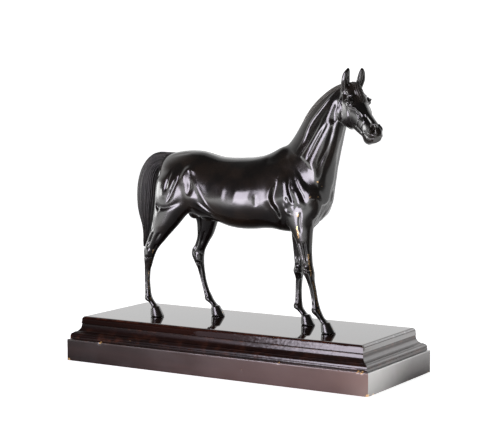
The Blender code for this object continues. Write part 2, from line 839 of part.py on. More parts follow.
def make_plinth(wood, baize_green, brass, inner_wood, steel):
    for side in ("front", "right", "back", "left"):
        mitred_length(f"skirt_{side}", side, skirt_profile(), wood)
        mitred_length(f"moulding_{side}", side, moulding_profile(), wood)

    edge = board_inset()
    lift = PLINTH_HEIGHT - NOSING_RADIUS
    rings = [rectangle_ring(edge, BOARD_UNDERSIDE)]
    rings += [
        rectangle_ring(edge + NOSING_RADIUS * (1 - math.cos(a)), lift + NOSING_RADIUS * math.sin(a))
        for a in np.linspace(0, math.pi / 2, 6)
    ]
    board = object_from("top_board", *loft(rings), wood)

    inner = FRAME_DEPTH + GAP
    baize_low = BAIZE_RECESS
    board_low = baize_low + BAIZE_THICKNESS + GAP
    board_top = board_low + BOTTOM_BOARD_THICKNESS
    half_x, half_y = PLINTH_LENGTH / 2 - inner, PLINTH_WIDTH / 2 - inner
    bottom = box("bottom_board", (-half_x, -half_y, board_low), (half_x, half_y, board_top), inner_wood)
    baize = box("baize", (-half_x, -half_y, baize_low), (half_x, half_y, baize_low + BAIZE_THICKNESS), baize_green)

    ends = {"front_left": (-1, -1), "front_right": (1, -1), "back_right": (1, 1), "back_left": (-1, 1)}
    for name, (sx, sy) in ends.items():
        xs = sorted((sx * half_x, sx * (half_x - CORNER_BLOCK)))
        ys = sorted((sy * half_y, sy * (half_y - CORNER_BLOCK)))
        block = box(
            f"corner_block_{name}",
            (xs[0], ys[0], board_top + GAP),
            (xs[1], ys[1], BOARD_UNDERSIDE - GAP),
            inner_wood,
        )
        at = Vector((sum(xs) / 2, sum(ys) / 2, board_low))
        up = Vector((0, 0, 1))
        shank = SCREW_SHANK_RADIUS
        neck = GAP + SCREW_HEAD_RADIUS - shank
        profile = [(GAP, SCREW_HEAD_RADIUS), (neck, shank), (SCREW_LENGTH, shank)]
        lathe(f"base_screw_{name}", at, up, profile, 12, brass)
        wide = SCREW_HEAD_RADIUS + GAP * 1.5
        sink_profile = [
            (-1, wide + 1),
            (GAP, wide),
            (neck + GAP / 2, shank + GAP),
            (SCREW_LENGTH + GAP, shank + GAP),
        ]
        sink = lathe(f"screw room {name}", at, up, sink_profile, 12, helper=True)
        boolean(bottom, "DIFFERENCE", sink)
        boolean(block, "DIFFERENCE", sink)
        access = rod(
            f"access {name}", at - up * 5, at, SCREW_HEAD_RADIUS + 2, 16, helper=True
        )
        boolean(baize, "DIFFERENCE", access)

    for leg, (rows, side, top_x, sole_x, _) in LEGS.items():
        at = hoof_middle(rows, side, top_x, sole_x)
        up = Vector((0, 0, 1))
        under = Vector((at.x, at.y, BOARD_UNDERSIDE))
        washer_top = under - up * GAP
        nut_top = washer_top - up * (WASHER_THICKNESS + GAP)
        stud_foot = nut_top - up * (NUT_THICKNESS + STUD_BELOW_NUT)
        place = leg.replace("_leg", "")
        rod(f"stud_{place}", stud_foot, at + up * STUD_DEPTH_IN_HOOF, STUD_RADIUS, 16, steel)
        hole = rod(f"stud hole {place}", stud_foot, at, STUD_RADIUS + GAP, 16, helper=True)
        boolean(board, "DIFFERENCE", hole)
        washer = rod(
            f"washer_{place}", washer_top, washer_top - up * WASHER_THICKNESS, WASHER_RADIUS, 24, steel
        )
        nut_radius = NUT_ACROSS_FLATS / math.sqrt(3)
        nut = rod(f"nut_{place}", nut_top, nut_top - up * NUT_THICKNESS, nut_radius, 6, steel)
        boolean(washer, "DIFFERENCE", hole)
        boolean(nut, "DIFFERENCE", hole)


def main():
    clear_scene()
    bronze = material("bronze patina", (0.03, 0.022, 0.018), 0.25, 1.0)
    pin_bronze = material("pin bronze", (0.35, 0.2, 0.09), 0.35, 1.0)
    wood = material("dark polished wood", (0.05, 0.022, 0.016), 0.3)
    inner_wood = material("plain wood", (0.45, 0.3, 0.17), 0.7)
    baize_green = material("baize", (0.02, 0.08, 0.04), 0.95)
    brass = material("brass", (0.7, 0.5, 0.2), 0.3, 1.0)
    steel = material("steel", (0.5, 0.5, 0.52), 0.35, 1.0)
    make_plinth(wood, baize_green, brass, inner_wood, steel)
    make_castings(bronze, pin_bronze)
    for obj in bpy.context.scene.objects:
        if not obj.hide_render:
            obj.data.shade_smooth()
            obj.data.set_sharp_from_angle(angle=math.radians(35))


main()
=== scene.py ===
import bmesh
import bpy
import numpy as np
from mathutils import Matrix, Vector


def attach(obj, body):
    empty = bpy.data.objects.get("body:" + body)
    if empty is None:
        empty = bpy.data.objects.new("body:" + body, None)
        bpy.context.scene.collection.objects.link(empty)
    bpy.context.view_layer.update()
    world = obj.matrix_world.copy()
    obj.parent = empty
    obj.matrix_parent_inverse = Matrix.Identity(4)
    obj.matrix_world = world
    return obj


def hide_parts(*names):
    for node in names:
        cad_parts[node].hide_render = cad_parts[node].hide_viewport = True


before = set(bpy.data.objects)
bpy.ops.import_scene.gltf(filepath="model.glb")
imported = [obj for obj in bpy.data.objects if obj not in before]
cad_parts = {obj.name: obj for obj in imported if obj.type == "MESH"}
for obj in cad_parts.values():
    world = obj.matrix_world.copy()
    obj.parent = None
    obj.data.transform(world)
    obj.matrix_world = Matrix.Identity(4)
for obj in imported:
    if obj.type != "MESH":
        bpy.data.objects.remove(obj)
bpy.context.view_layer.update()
mm = 0.001


# surface tools: every shape below is points on a grid, in millimetres


def throughRows(rows, steps):
    # Catmull-Rom curve through each column of the rows, all spans at once
    table = np.asarray(rows, float)
    padded = np.vstack([2 * table[0] - table[1], table, 2 * table[-1] - table[-2]])
    before, here, after, beyond = (padded[i : len(padded) - 3 + i, None, :] for i in range(4))
    t = (np.arange(steps) / steps)[None, :, None]
    curve = 0.5 * (
        2 * here
        + (after - before) * t
        + (2 * before - 5 * here + 4 * after - beyond) * t**2
        + (3 * here - before - 3 * after + beyond) * t**3
    )
    return np.vstack([curve.reshape(-1, table.shape[1]), table[-1:]])


def ringGrid(centre, across, along, count, egg=0.0):
    # grid(i, j) = centre(i) + across(i) * cos(a) * (1 - egg(i) * sin(a)) + along(i) * sin(a)
    a = np.linspace(0, 2 * np.pi, count, endpoint=False)[None, :, None]
    egg = np.asarray(egg, float).reshape(-1, 1, 1)
    return (
        centre[:, None, :]
        + across[:, None, :] * np.cos(a) * (1 - egg * np.sin(a))
        + along[:, None, :] * np.sin(a)
    )


def gridFaces(rows, count, start=0):
    # quads between neighbouring rings, and a fan of triangles to a pole at each end
    i = np.arange(rows - 1)[:, None] * count
    j = np.arange(count)[None, :]
    k = (j + 1) % count
    quads = np.stack([i + j, i + k, i + count + k, i + count + j], -1).reshape(-1, 4) + start
    firstPole, lastPole = start + rows * count, start + rows * count + 1
    last = (rows - 1) * count
    j, k = j[0], k[0]
    fans = np.vstack(
        [
            np.stack([k + start, j + start, np.full(count, firstPole)], -1),
            np.stack([last + j + start, last + k + start, np.full(count, lastPole)], -1),
        ]
    )
    return quads, fans


def closedGrid(grid, start=0):
    # the grid's points with a pole at each end, and its faces
    rows, count, _ = grid.shape
    poles = np.stack([grid[0].mean(0), grid[-1].mean(0)])
    quads, fans = gridFaces(rows, count, start)
    return np.vstack([grid.reshape(-1, 3), poles]), quads.tolist() + fans.tolist()


def columns(x, y, z):
    # points from three columns; a plain number fills its column
    return np.stack(np.broadcast_arrays(x, y, z), -1).astype(float)


def meshOf(name, points, faces):
    mesh = bpy.data.meshes.new(name)
    mesh.from_pydata((np.asarray(points) * mm).tolist(), [], faces)
    mesh.update()
    return mesh


def turnOutward(mesh, merge=0.0):
    # outward normals, after joining points nearer to each other than merge
    work = bmesh.new()
    work.from_mesh(mesh)
    if merge:
        bmesh.ops.remove_doubles(work, verts=work.verts, dist=merge)
    bmesh.ops.recalc_face_normals(work, faces=work.faces)
    work.to_mesh(mesh)
    work.free()


def modified(mesh, kind, **settings):
    # the mesh as one modifier leaves it
    helper = bpy.data.objects.new(mesh.name, mesh)
    bpy.context.scene.collection.objects.link(helper)
    modifier = helper.modifiers.new(kind.lower(), kind)
    for key, value in settings.items():
        setattr(modifier, key, value)
    graph = bpy.context.evaluated_depsgraph_get()
    result = bpy.data.meshes.new_from_object(helper.evaluated_get(graph))
    bpy.data.objects.remove(helper)
    return result


def meshArrays(mesh):
    # its points in mm and the point number of each face corner
    verts = np.empty(len(mesh.vertices) * 3, np.float32)
    mesh.vertices.foreach_get("co", verts)
    corners = np.empty(len(mesh.loops), np.int32)
    mesh.loops.foreach_get("vertex_index", corners)
    return verts.reshape(-1, 3).astype(float) / mm, corners


def storeValues(mesh, **layers):
    # point values that the materials read by name
    for key, values in layers.items():
        layer = mesh.attributes.new(key, "FLOAT", "POINT")
        layer.data.foreach_set("value", np.asarray(values, np.float32).ravel())


def pieceOf(name, points, faces, material, slot, *nodes):
    mesh = meshOf(name, points, faces)
    turnOutward(mesh)
    return placePiece(name, mesh, material, slot, *nodes)


def placePiece(name, mesh, material, slot, *nodes):
    mesh.shade_smooth()
    mesh.materials.append(material)
    piece = bpy.data.objects.new(name, mesh)
    bpy.context.scene.collection.objects.link(piece)
    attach(piece, "root")
    if nodes:
        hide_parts(*nodes)
    return piece


def ease(value, low, high):
    t = np.clip((value - low) / (high - low), 0, 1)
    return t * t * (3 - 2 * t)


# shader tools


def newMaterial(name):
    material = bpy.data.materials.new(name)
    material.use_nodes = True
    tree = material.node_tree
    return material, tree, tree.nodes["Principled BSDF"]


def addNode(tree, kind, **settings):
    node = tree.nodes.new(kind)
    for key, value in settings.items():
        setattr(node, key, value)
    return node


def feed(tree, source, target):
    tree.links.new(source, target)


def give(tree, value, socket):
    # a link where the value is another node's output, and else a constant on the socket
    if isinstance(value, bpy.types.NodeSocket):
        feed(tree, value, socket)
    else:
        socket.default_value = value


def mixColour(tree, factor, first, second, blend="MIX"):
    node = addNode(tree, "ShaderNodeMix", data_type="RGBA", blend_type=blend)
    for number, value in ((0, factor), (6, first), (7, second)):
        give(tree, value, node.inputs[number])
    return node.outputs[2]


def mathNode(tree, operation, *values):
    node = addNode(tree, "ShaderNodeMath", operation=operation)
    for socket, value in zip(node.inputs, values):
        give(tree, value, socket)
    return node.outputs[0]


def plainValues(*names):
    # the socket rows of a group that puts out plain numbers
    return [(name, "NodeSocketFloat") for name in names]


def times(tree, first, second):
    return mathNode(tree, "MULTIPLY", first, second)


def plus(tree, first, second):
    return mathNode(tree, "ADD", first, second)


def centred(tree, noise, amount):
    # noise around zero: amount * (noise - 0.5)
    return mathNode(tree, "MULTIPLY_ADD", noise, amount, -amount / 2)


def alongWay(tree, point, way):
    # how far the point lies in that direction
    node = addNode(tree, "ShaderNodeVectorMath", operation="DOT_PRODUCT")
    feed(tree, point, node.inputs[0])
    node.inputs[1].default_value = way
    return node.outputs["Value"]


def rangeNode(tree, value, low, high, toLow=0.0, toHigh=1.0):
    node = addNode(tree, "ShaderNodeMapRange", interpolation_type="SMOOTHSTEP")
    feed(tree, value, node.inputs["Value"])
    for key, number in (("From Min", low), ("From Max", high), ("To Min", toLow), ("To Max", toHigh)):
        node.inputs[key].default_value = number
    return node.outputs["Result"]


def noiseNode(tree, coordinates, scale, detail=4.0, roughness=0.55, stretch=None):
    if stretch:
        mapping = addNode(tree, "ShaderNodeMapping")
        mapping.inputs["Scale"].default_value = stretch
        feed(tree, coordinates, mapping.inputs["Vector"])
        coordinates = mapping.outputs["Vector"]
    node = addNode(tree, "ShaderNodeTexNoise")
    feed(tree, coordinates, node.inputs["Vector"])
    node.inputs["Scale"].default_value = scale
    node.inputs["Detail"].default_value = detail
    node.inputs["Roughness"].default_value = roughness
    return node.outputs["Fac"]


def objectPoint(tree):
    return addNode(tree, "ShaderNodeTexCoord").outputs["Object"]


def bumpNode(tree, height, strength, distance):
    node = addNode(tree, "ShaderNodeBump")
    node.inputs["Strength"].default_value = strength
    node.inputs["Distance"].default_value = distance
    feed(tree, height, node.inputs["Height"])
    return node.outputs["Normal"]


def newGroup(name, inputs, outputs):
    group = bpy.data.node_groups.new(name, "ShaderNodeTree")
    for socketName, kind, value in inputs:
        socket = group.interface.new_socket(socketName, in_out="INPUT", socket_type=kind)
        if value is not None:
            socket.default_value = value
    for socketName, kind in outputs:
        group.interface.new_socket(socketName, in_out="OUTPUT", socket_type=kind)
    return group, group.nodes.new("NodeGroupInput"), group.nodes.new("NodeGroupOutput")


def placeGroup(tree, group, **values):
    node = tree.nodes.new("ShaderNodeGroup")
    node.node_tree = group
    for key, value in values.items():
        give(tree, value, node.inputs[key])
    return node


# studio: camera, white sweep and soft lights

studio = {
    "cameraPlace": (0.90569, -1.48808, 0.34383),
    "cameraAim": (-0.51480, 0.85212, -0.09422),
    "cameraLens": 108.8,
    "darkRoom": 0.05,  # what the bronze sees above and on the camera's side
    "backGlow": 1.2,  # what it sees of the white sweep behind
    "backFrom": (-0.42, 0.90, 0.0),
    "paperGlow": 0.80,  # the sweep as the camera sees it
    "paperFar": (0.16, 0.16, 0.16, 1.0),  # and as the bronze sees it
    "paperSeen": 0.03,
    # pools of light on the sweep that only reflections see: the way each grows brighter, in m from where
    # to where, how strong, and where it fades and ends
    "paperPools": [
        ((-0.6, -0.8, 0), 0.28, 1.5, 2.2, 50, 60),
        ((0.3, 0.95, 0), 0.05, 0.3, 0.8, 50, 60),
        ((0.95, -0.3, 0), 0.17, 0.27, 2.2, 0.30, 0.34),
    ],
    # low glow on the left: the way to it, from, to, its height and its strength
    "haze": ((-0.6, -0.8, 0.0), 0.35, 0.9, 0.20, 0.8),
    "paper": (0.86, 0.86, 0.87, 1.0),
}

# name: place, aim point, width, height, watts, colour
lamps = {
    "sideSoftbox": ((-0.306, -0.847, 0.285), (0, 0, 0.285), 0.38, 0.52, 5.9, (0.93, 0.86, 1.0)),
    "topSoftbox": ((-0.3, 0.9, 1.3), (0, 0, 0.1), 1.6, 1.2, 3.0, (1.0, 1.0, 1.0)),
    "leftPanel": ((-1.188, -0.167, 0.30), (0, 0, 0.25), 0.45, 0.26, 2.1, (1.0, 1.0, 1.0)),
    "backSoftbox": ((0.55, 1.0, 0.42), (0, 0, 0.2), 0.5, 0.5, 1.9, (0.97, 0.98, 1.0)),
}


def buildStudio():
    scene = bpy.context.scene
    camera = bpy.data.cameras.new("camera")
    camera.lens = studio["cameraLens"]
    camera.sensor_width = 36.0
    camera.clip_start = 0.05
    cameraObject = bpy.data.objects.new("camera", camera)
    cameraObject.location = studio["cameraPlace"]
    cameraObject.rotation_euler = Vector(studio["cameraAim"]).to_track_quat("-Z", "Y").to_euler()
    scene.collection.objects.link(cameraObject)
    scene.camera = cameraObject
    scene.view_settings.view_transform = "Standard"

    for name, (place, aim, width, height, watts, colour) in lamps.items():
        light = bpy.data.lights.new(name, "AREA")
        light.shape = "RECTANGLE"
        light.size, light.size_y = width, height
        light.energy, light.color = watts, colour
        lightObject = bpy.data.objects.new(name, light)
        lightObject.location = place
        lightObject.rotation_euler = (Vector(aim) - Vector(place)).to_track_quat("-Z", "Y").to_euler()
        lightObject.visible_camera = False
        scene.collection.objects.link(lightObject)

    world = bpy.data.worlds.new("studio")
    scene.world = world
    world.use_nodes = True
    tree = world.node_tree
    background = tree.nodes["Background"]
    direction = addNode(tree, "ShaderNodeTexCoord").outputs["Generated"]
    height = addNode(tree, "ShaderNodeSeparateXYZ")
    feed(tree, direction, height.inputs[0])
    behind = rangeNode(tree, alongWay(tree, direction, Vector(studio["backFrom"]).normalized()), -0.05, 0.45)
    low = rangeNode(tree, height.outputs["Z"], 0.62, 0.88, 1.0, 0.0)
    glow = mathNode(tree, "MULTIPLY_ADD", times(tree, behind, low), studio["backGlow"], studio["darkRoom"])
    toward, start, end, top, most = studio["haze"]
    side = rangeNode(tree, alongWay(tree, direction, Vector(toward).normalized()), start, end)
    glow = plus(tree, glow, times(tree, side, rangeNode(tree, height.outputs["Z"], 0.0, top, most, 0.0)))
    seen = addNode(tree, "ShaderNodeLightPath").outputs["Is Camera Ray"]
    strength = mathNode(tree, "MAXIMUM", glow, seen)
    feed(tree, strength, background.inputs["Strength"])
    background.inputs["Color"].default_value = (1, 1, 1, 1)

    material, tree, shader = newMaterial("paper sweep")
    shader.inputs["Roughness"].default_value = 0.9
    shader.inputs["Specular IOR Level"].default_value = 0.1
    shader.inputs["Emission Color"].default_value = (1, 1, 1, 1)
    straight = addNode(tree, "ShaderNodeLightPath").outputs["Is Camera Ray"]
    seen = studio["paperSeen"]
    for toward, start, end, most, fades, gone in studio["paperPools"]:
        away = alongWay(tree, objectPoint(tree), toward)
        rise = rangeNode(tree, away, start, end, 0.0, most)
        seen = plus(tree, seen, times(tree, rise, rangeNode(tree, away, fades, gone, 1.0, 0.0)))
    glow = times(tree, mathNode(tree, "SUBTRACT", 1.0, straight), seen)
    glow = mathNode(tree, "MULTIPLY_ADD", straight, studio["paperGlow"], glow)
    feed(tree, glow, shader.inputs["Emission Strength"])
    feed(tree, mixColour(tree, straight, studio["paperFar"], studio["paper"]), shader.inputs["Base Color"])
    mesh = meshOf("floor", [(-9e3, -9e3, 0), (9e3, -9e3, 0), (9e3, 9e3, 0), (-9e3, 9e3, 0)], [(0, 1, 2, 3)])
    floor = bpy.data.objects.new("floor", mesh)
    mesh.materials.append(material)
    bpy.context.scene.collection.objects.link(floor)
    print("studio ready")


buildStudio()


# bronze finish

patina = {
    "dark": (0.0055, 0.0045, 0.004, 1.0),
    "brown": (0.014, 0.009, 0.006, 1.0),
    "worn": (0.62, 0.40, 0.19, 1.0),
    "combed": (0.040, 0.031, 0.022, 1.0),
}


def patinaGroup():
    # mottled brown-black colour and gloss, with bare metal where the wear value is high
    group, given, result = newGroup(
        "patinaMottle",
        [
            ("Point", "NodeSocketVector", None),
            ("Wear", "NodeSocketFloat", 0.0),
            ("Hair", "NodeSocketFloat", 0.0),
        ],
        [("Colour", "NodeSocketColor")] + plainValues("Metal", "Roughness", "Height"),
    )
    point, wear, hair = (given.outputs[key] for key in ("Point", "Wear", "Hair"))
    clouds = noiseNode(group, point, 28.0, 3.0)
    grain = noiseNode(group, point, 420.0, 3.0)
    colour = mixColour(group, rangeNode(group, clouds, 0.4, 0.68), patina["dark"], patina["brown"])
    broken = plus(group, wear, centred(group, grain, 0.5))
    metal = rangeNode(group, broken, 0.42, 0.62)
    colour = mixColour(group, metal, colour, patina["worn"])
    colour = mixColour(group, mathNode(group, "MULTIPLY", hair, 0.8), colour, patina["combed"])
    rough = plus(group, rangeNode(group, clouds, 0.3, 0.7, 0.13, 0.21), times(group, hair, 0.33))
    feed(group, colour, result.inputs["Colour"])
    feed(group, mathNode(group, "MULTIPLY", metal, 0.9), result.inputs["Metal"])
    feed(group, rough, result.inputs["Roughness"])
    feed(group, plus(group, grain, times(group, clouds, 0.6)), result.inputs["Height"])
    return group


patinaMottle = patinaGroup()


def bronzeMaterial(name, bump=0.03):
    material, tree, shader = newMaterial(name)
    wear = addNode(tree, "ShaderNodeAttribute", attribute_name="wear").outputs["Fac"]
    hair = addNode(tree, "ShaderNodeAttribute", attribute_name="hair").outputs["Fac"]
    mottle = placeGroup(tree, patinaMottle, Point=objectPoint(tree), Wear=wear, Hair=hair)
    feed(tree, mottle.outputs["Colour"], shader.inputs["Base Color"])
    feed(tree, mottle.outputs["Metal"], shader.inputs["Metallic"])
    feed(tree, mottle.outputs["Roughness"], shader.inputs["Roughness"])
    shader.inputs["Specular IOR Level"].default_value = 0.9
    feed(tree, bumpNode(tree, mottle.outputs["Height"], bump, 0.0004), shader.inputs["Normal"])
    return material


bronze = bronzeMaterial("patinated bronze")


# the horse: its outline rows, in mm, heights above the soles

horse = {
    "lift": 52.5,  # sole height above the standing surface
    "voxel": 1.0,
    "ringPoints": 96,
    "jointHeight": 104.0,
    "headTurn": 30.0,
    "poll": (141.5, -6.0),
    # trunk: x, underline, topline, half width, egg
    "trunk": [
        (-113.5, 160, 178, 5, 0.0), (-111, 150, 186, 12, 0.0), (-106, 144, 191, 18, 0.05),
        (-98, 138, 194.5, 22.5, 0.1), (-85, 130, 197, 26.5, 0.15), (-70, 124, 198.5, 29, 0.2),
        (-55, 119, 197.8, 30.0, 0.2), (-42, 117.5, 194.8, 30.8, 0.2), (-30, 114.5, 192.2, 31.8, 0.2),
        (-15, 110.5, 191.5, 32.6, 0.22), (0, 109, 192, 33, 0.25), (15, 109.5, 193, 32.5, 0.25),
        (30, 111, 196, 30, 0.3), (42, 111, 201.5, 27.5, 0.38), (52, 109.5, 206.5, 26, 0.42),
        (65, 109, 207, 25, 0.4), (80, 112, 203, 24, 0.3), (92, 118, 196, 21.5, 0.2),
        (102, 127, 186, 17, 0.1), (108.5, 137, 176, 11, 0.0), (112, 147, 166, 5, 0.0),
    ],
    # neck: crest x and height, front x and height, half width, sideways shift
    "neck": [
        (42, 180, 100, 130, 15, 0), (46, 198, 111.5, 143, 20, 0), (57, 208, 115, 160, 19.5, 0),
        (66, 219, 117.5, 176, 17.5, 0), (77, 236, 120.5, 191, 15.3, -0.5),
        (89.5, 251.5, 124.5, 206, 13.4, -1.5), (103, 263.5, 128.5, 219, 12, -3),
        (117, 272.5, 132, 230, 11.2, -4.5), (131, 278, 135, 239, 10.4, -6),
    ],
    # head, nape to lips, in its own upright plane: face line forward and height, jaw line, half width
    "head": [
        (-9, 275.5, -22, 264, 6.5), (0, 279.0, -20, 252, 10.5), (9, 276.5, -16.5, 240, 12.2),
        (16.5, 267, -10, 230.5, 13.2), (22.5, 257.5, -1.5, 226.5, 12.2), (29, 250.2, 7.5, 227, 9.8),
        (35.5, 244.5, 15.5, 223.4, 7.8), (43, 238.8, 22.5, 219.4, 6.8), (49, 233.8, 28.0, 213.6, 7.4),
        (54.5, 229, 35.5, 211.8, 7.4), (55.5, 221.5, 45, 213.2, 5.2),
    ],
    # ear: forward of the poll, height, sideways, half depth, half width
    "ear": [
        (-3, 267, 7.4, 4.4, 4.2), (-1, 274, 8.8, 5.0, 4.6), (1.5, 281, 10.0, 4.6, 4.8),
        (3.5, 288, 10.0, 3.4, 4.0), (5.0, 292, 9.4, 2.2, 2.5), (5.5, 294.4, 8.8, 0.8, 0.9),
    ],
    "brow": (12.5, 258.0, 11.0, 4.4),
    # hoof: half depth at the sole and coronet, half width at both, height, slope of the coronet
    "hoof": (8.7, 5.3, 7.4, 5.2, 11.6, 0.22),
    # the tail's root under its hair: x, height, half thickness, half width
    "tailStub": [(-98, 184, 5, 5), (-107, 187, 6, 5.5), (-116, 187, 6.6, 5.8), (-122, 184, 6.2, 5.4)],
    "underBody": [(-49, 119.5, 12, 5, 5), (-69, 124, 9, 8, 7.5)],
}
# legs: height, x, half depth, sideways, half width; then the heights of the knee or hock and of the
# fetlock, the side, and the coronet and sole x
legs = {
    "right_hind_leg": {
        "rows": [
            (184, -80, 16, 9, 7), (174, -80, 25, 12.5, 12), (162, -82.5, 30, 15, 14.5),
            (146, -84.5, 29.5, 16.5, 14.5), (132, -87.5, 26.5, 17.5, 13.6),
            (120, -93.5, 21.5, 18.8, 12), (110, -98.2, 17, 19.6, 10.6), (104, -101.8, 14.8, 20, 9.4),
            (97.5, -106.5, 13.1, 20.3, 8.4), (91.5, -110.5, 11.5, 20.6, 7.3),
            (85.5, -114.9, 10.1, 20.8, 6.3), (79.5, -118.5, 9.0, 21, 5.6), (73, -120.2, 7.2, 21, 5.3),
            (67, -121.3, 5.9, 21, 5.1), (61, -122, 4.7, 21, 4.3), (55, -123, 3.8, 21, 3.5),
            (43, -123.5, 3.4, 21, 3.2), (31, -122.8, 3.6, 21, 3.3), (25, -122.2, 4.1, 21, 3.8),
            (20.5, -121, 4.6, 21, 4.3), (16.5, -117.4, 4.1, 20.8, 3.9), (12.5, -114.0, 4.3, 20.6, 4.2),
            (9, -112.6, 4.2, 20.5, 4.1),
        ],
        "bend": 79,
        "fetlock": 20.5,
        "side": -1,
        "coronet": -113.2,
        "sole": -109.6,
    },
    "left_hind_leg": {
        "rows": [
            (184, -77, 16, 9, 7), (174, -77, 26, 12.5, 12), (162, -77, 31, 15, 14.5),
            (146, -74.5, 29, 16.8, 14.3), (132, -69, 23, 18.8, 12.8), (120, -66, 17, 20, 11.3),
            (112, -65.5, 13.6, 20.8, 10.2), (102, -67.3, 11.4, 21.5, 9), (96, -68.8, 10.1, 21.8, 8),
            (90, -71.6, 8.8, 22, 7), (83.5, -74.9, 8.2, 22, 6.1), (77.5, -78.5, 8.9, 22, 5.5),
            (71.2, -79.3, 8.4, 22, 5.3), (65, -78.1, 6.8, 22, 5.1), (59.3, -76.4, 5.4, 22, 4.4),
            (53.4, -74.6, 4.4, 22, 3.6), (41.5, -71.6, 3.7, 22, 3.2), (29.6, -67.7, 3.9, 22, 3.3),
            (23.8, -65.2, 4.7, 22, 4), (19, -63, 5.0, 22, 4.4), (15.0, -58.8, 4.5, 21.6, 3.9),
            (11.5, -55.0, 4.5, 21.2, 4.2), (8, -53.2, 4.2, 21, 4.1),
        ],
        "bend": 71,
        "fetlock": 19,
        "side": 1,
        "coronet": -54.4,
        "sole": -50.0,
    },
    "left_fore_leg": {
        "rows": [
            (182, 64, 12, 10, 7), (172, 70, 21, 12.5, 10.5), (158, 77, 26, 14, 12),
            (143, 80, 26, 15, 12.2), (130, 77.5, 23, 16.3, 11.6), (120, 71.5, 18, 17.8, 10.4),
            (112, 66, 14, 19, 9), (103, 62, 10.5, 20, 7.8), (91.6, 60.3, 7.8, 21, 6.6),
            (80, 60, 6.4, 21.5, 5.7), (70, 60, 5.6, 21.8, 5.4), (64.5, 59.8, 5.9, 22, 5.9),
            (60, 59.4, 5.9, 22, 6.0), (55, 59.5, 4.9, 22, 4.9), (50.5, 59.6, 4.2, 22, 4),
            (39, 59.4, 3.9, 21.6, 3.4), (28, 59.8, 4.3, 20.8, 3.6), (22, 60.0, 5.2, 20.2, 4.4),
            (18.5, 61.2, 5.4, 19.8, 4.6), (15, 65.0, 4.6, 19.3, 4.0), (11, 69.0, 4.5, 18.8, 4.2),
            (8, 71.0, 4.2, 18.5, 4.1),
        ],
        "bend": 61,
        "fetlock": 20.5,
        "side": 1,
        "coronet": 70.4,
        "sole": 74.0,
    },
    "right_fore_leg": {
        "rows": [
            (182, 63, 12, 10, 7), (172, 70, 22, 12.5, 10.5), (158, 79, 27, 14, 12),
            (143, 83, 26, 15, 12.2), (130, 83.5, 22.5, 16.3, 11.5), (120, 84, 16.8, 17.6, 10.2),
            (112, 86, 13.5, 18.6, 8.8), (103, 88.7, 10.4, 19.2, 7.7), (92, 91, 7.9, 19.6, 6.6),
            (81, 92.9, 6.8, 20, 5.8), (75.5, 93.9, 6.5, 20, 5.7), (70, 94.9, 6.8, 20, 6.1),
            (64.5, 96, 6.5, 20, 6.0), (59, 97.5, 5.2, 20, 4.9), (53.5, 99.3, 4.5, 20, 4),
            (47.7, 101, 4.1, 20, 3.6), (36.6, 103.3, 3.9, 20, 3.4), (31, 104.3, 4.5, 20, 3.8),
            (25.5, 105.4, 5.2, 20, 4.5), (20.5, 107.8, 5.3, 20, 4.6), (16.5, 111, 4.5, 19.8, 4.1),
            (12.0, 115.4, 4.5, 19.6, 4.2), (8.5, 117.4, 4.2, 19.5, 4.1),
        ],
        "bend": 67,
        "fetlock": 24,
        "side": -1,
        "coronet": 116.6,
        "sole": 121.0,
    },
}


def headPoint(forward, height, sideways):
    # a point in the head's own frame, turned to the horse's right about the poll
    turn = np.radians(horse["headTurn"])
    pollX, pollY = horse["poll"]
    forward, sideways = np.asarray(forward, float), np.asarray(sideways, float)
    x = pollX + forward * np.cos(turn) + sideways * np.sin(turn)
    y = pollY - forward * np.sin(turn) + sideways * np.cos(turn)
    return columns(x, y, height)


def headWays():
    # the head's own sideways and forward directions
    return headPoint(0, 0, 1) - headPoint(0, 0, 0), headPoint(1, 0, 0) - headPoint(0, 0, 0)


def trunkGrid():
    # upright egg-shaped rings along x
    x, low, high, half, egg = throughRows(horse["trunk"], 6).T
    tall = columns(0, 0, (high - low) / 2)
    return ringGrid(columns(x, 0, (low + high) / 2), columns(0, half, 0), tall, horse["ringPoints"], egg)


def neckGrid():
    # rings between the crest and the throat line
    crestX, crestZ, frontX, frontZ, half, shift = throughRows(horse["neck"], 8).T
    crest, front = columns(crestX, shift, crestZ), columns(frontX, shift, frontZ)
    egg = np.linspace(0.42, 0.48, len(half))
    return ringGrid((crest + front) / 2, columns(0, half, 0), (crest - front) / 2, horse["ringPoints"], egg)


def headGrid():
    # rings between the face line and the jaw line
    faceS, faceZ, jawS, jawZ, half = throughRows(horse["head"], 10).T
    face, jaw = headPoint(faceS, faceZ, 0), headPoint(jawS, jawZ, 0)
    side = headWays()[0] * half[:, None]
    return ringGrid((face + jaw) / 2, side, (face - jaw) / 2, horse["ringPoints"], -0.08)


def earGrid(sign):
    s, z, y, depth, half = throughRows(horse["ear"], 8).T
    side, ahead = headWays()
    return ringGrid(headPoint(s, z, sign * y), side * half[:, None], ahead * depth[:, None], 40)


def ballGrid(centre, first, second, third, rows=24, count=40):
    # an ellipsoid: poles on its first half axis
    t = np.linspace(0.06, np.pi - 0.06, rows)
    first, second, third = (np.asarray(v, float) for v in (first, second, third))
    return ringGrid(
        np.asarray(centre, float) + np.cos(t)[:, None] * first,
        np.sin(t)[:, None] * second,
        np.sin(t)[:, None] * third,
        count,
    )


def legGrid(leg):
    # level elliptical rings down the leg
    z, x, depth, y, half = throughRows(leg["rows"], 8).T
    return ringGrid(columns(x, leg["side"] * y, z), columns(0, half, 0), columns(depth, 0, 0), 56)


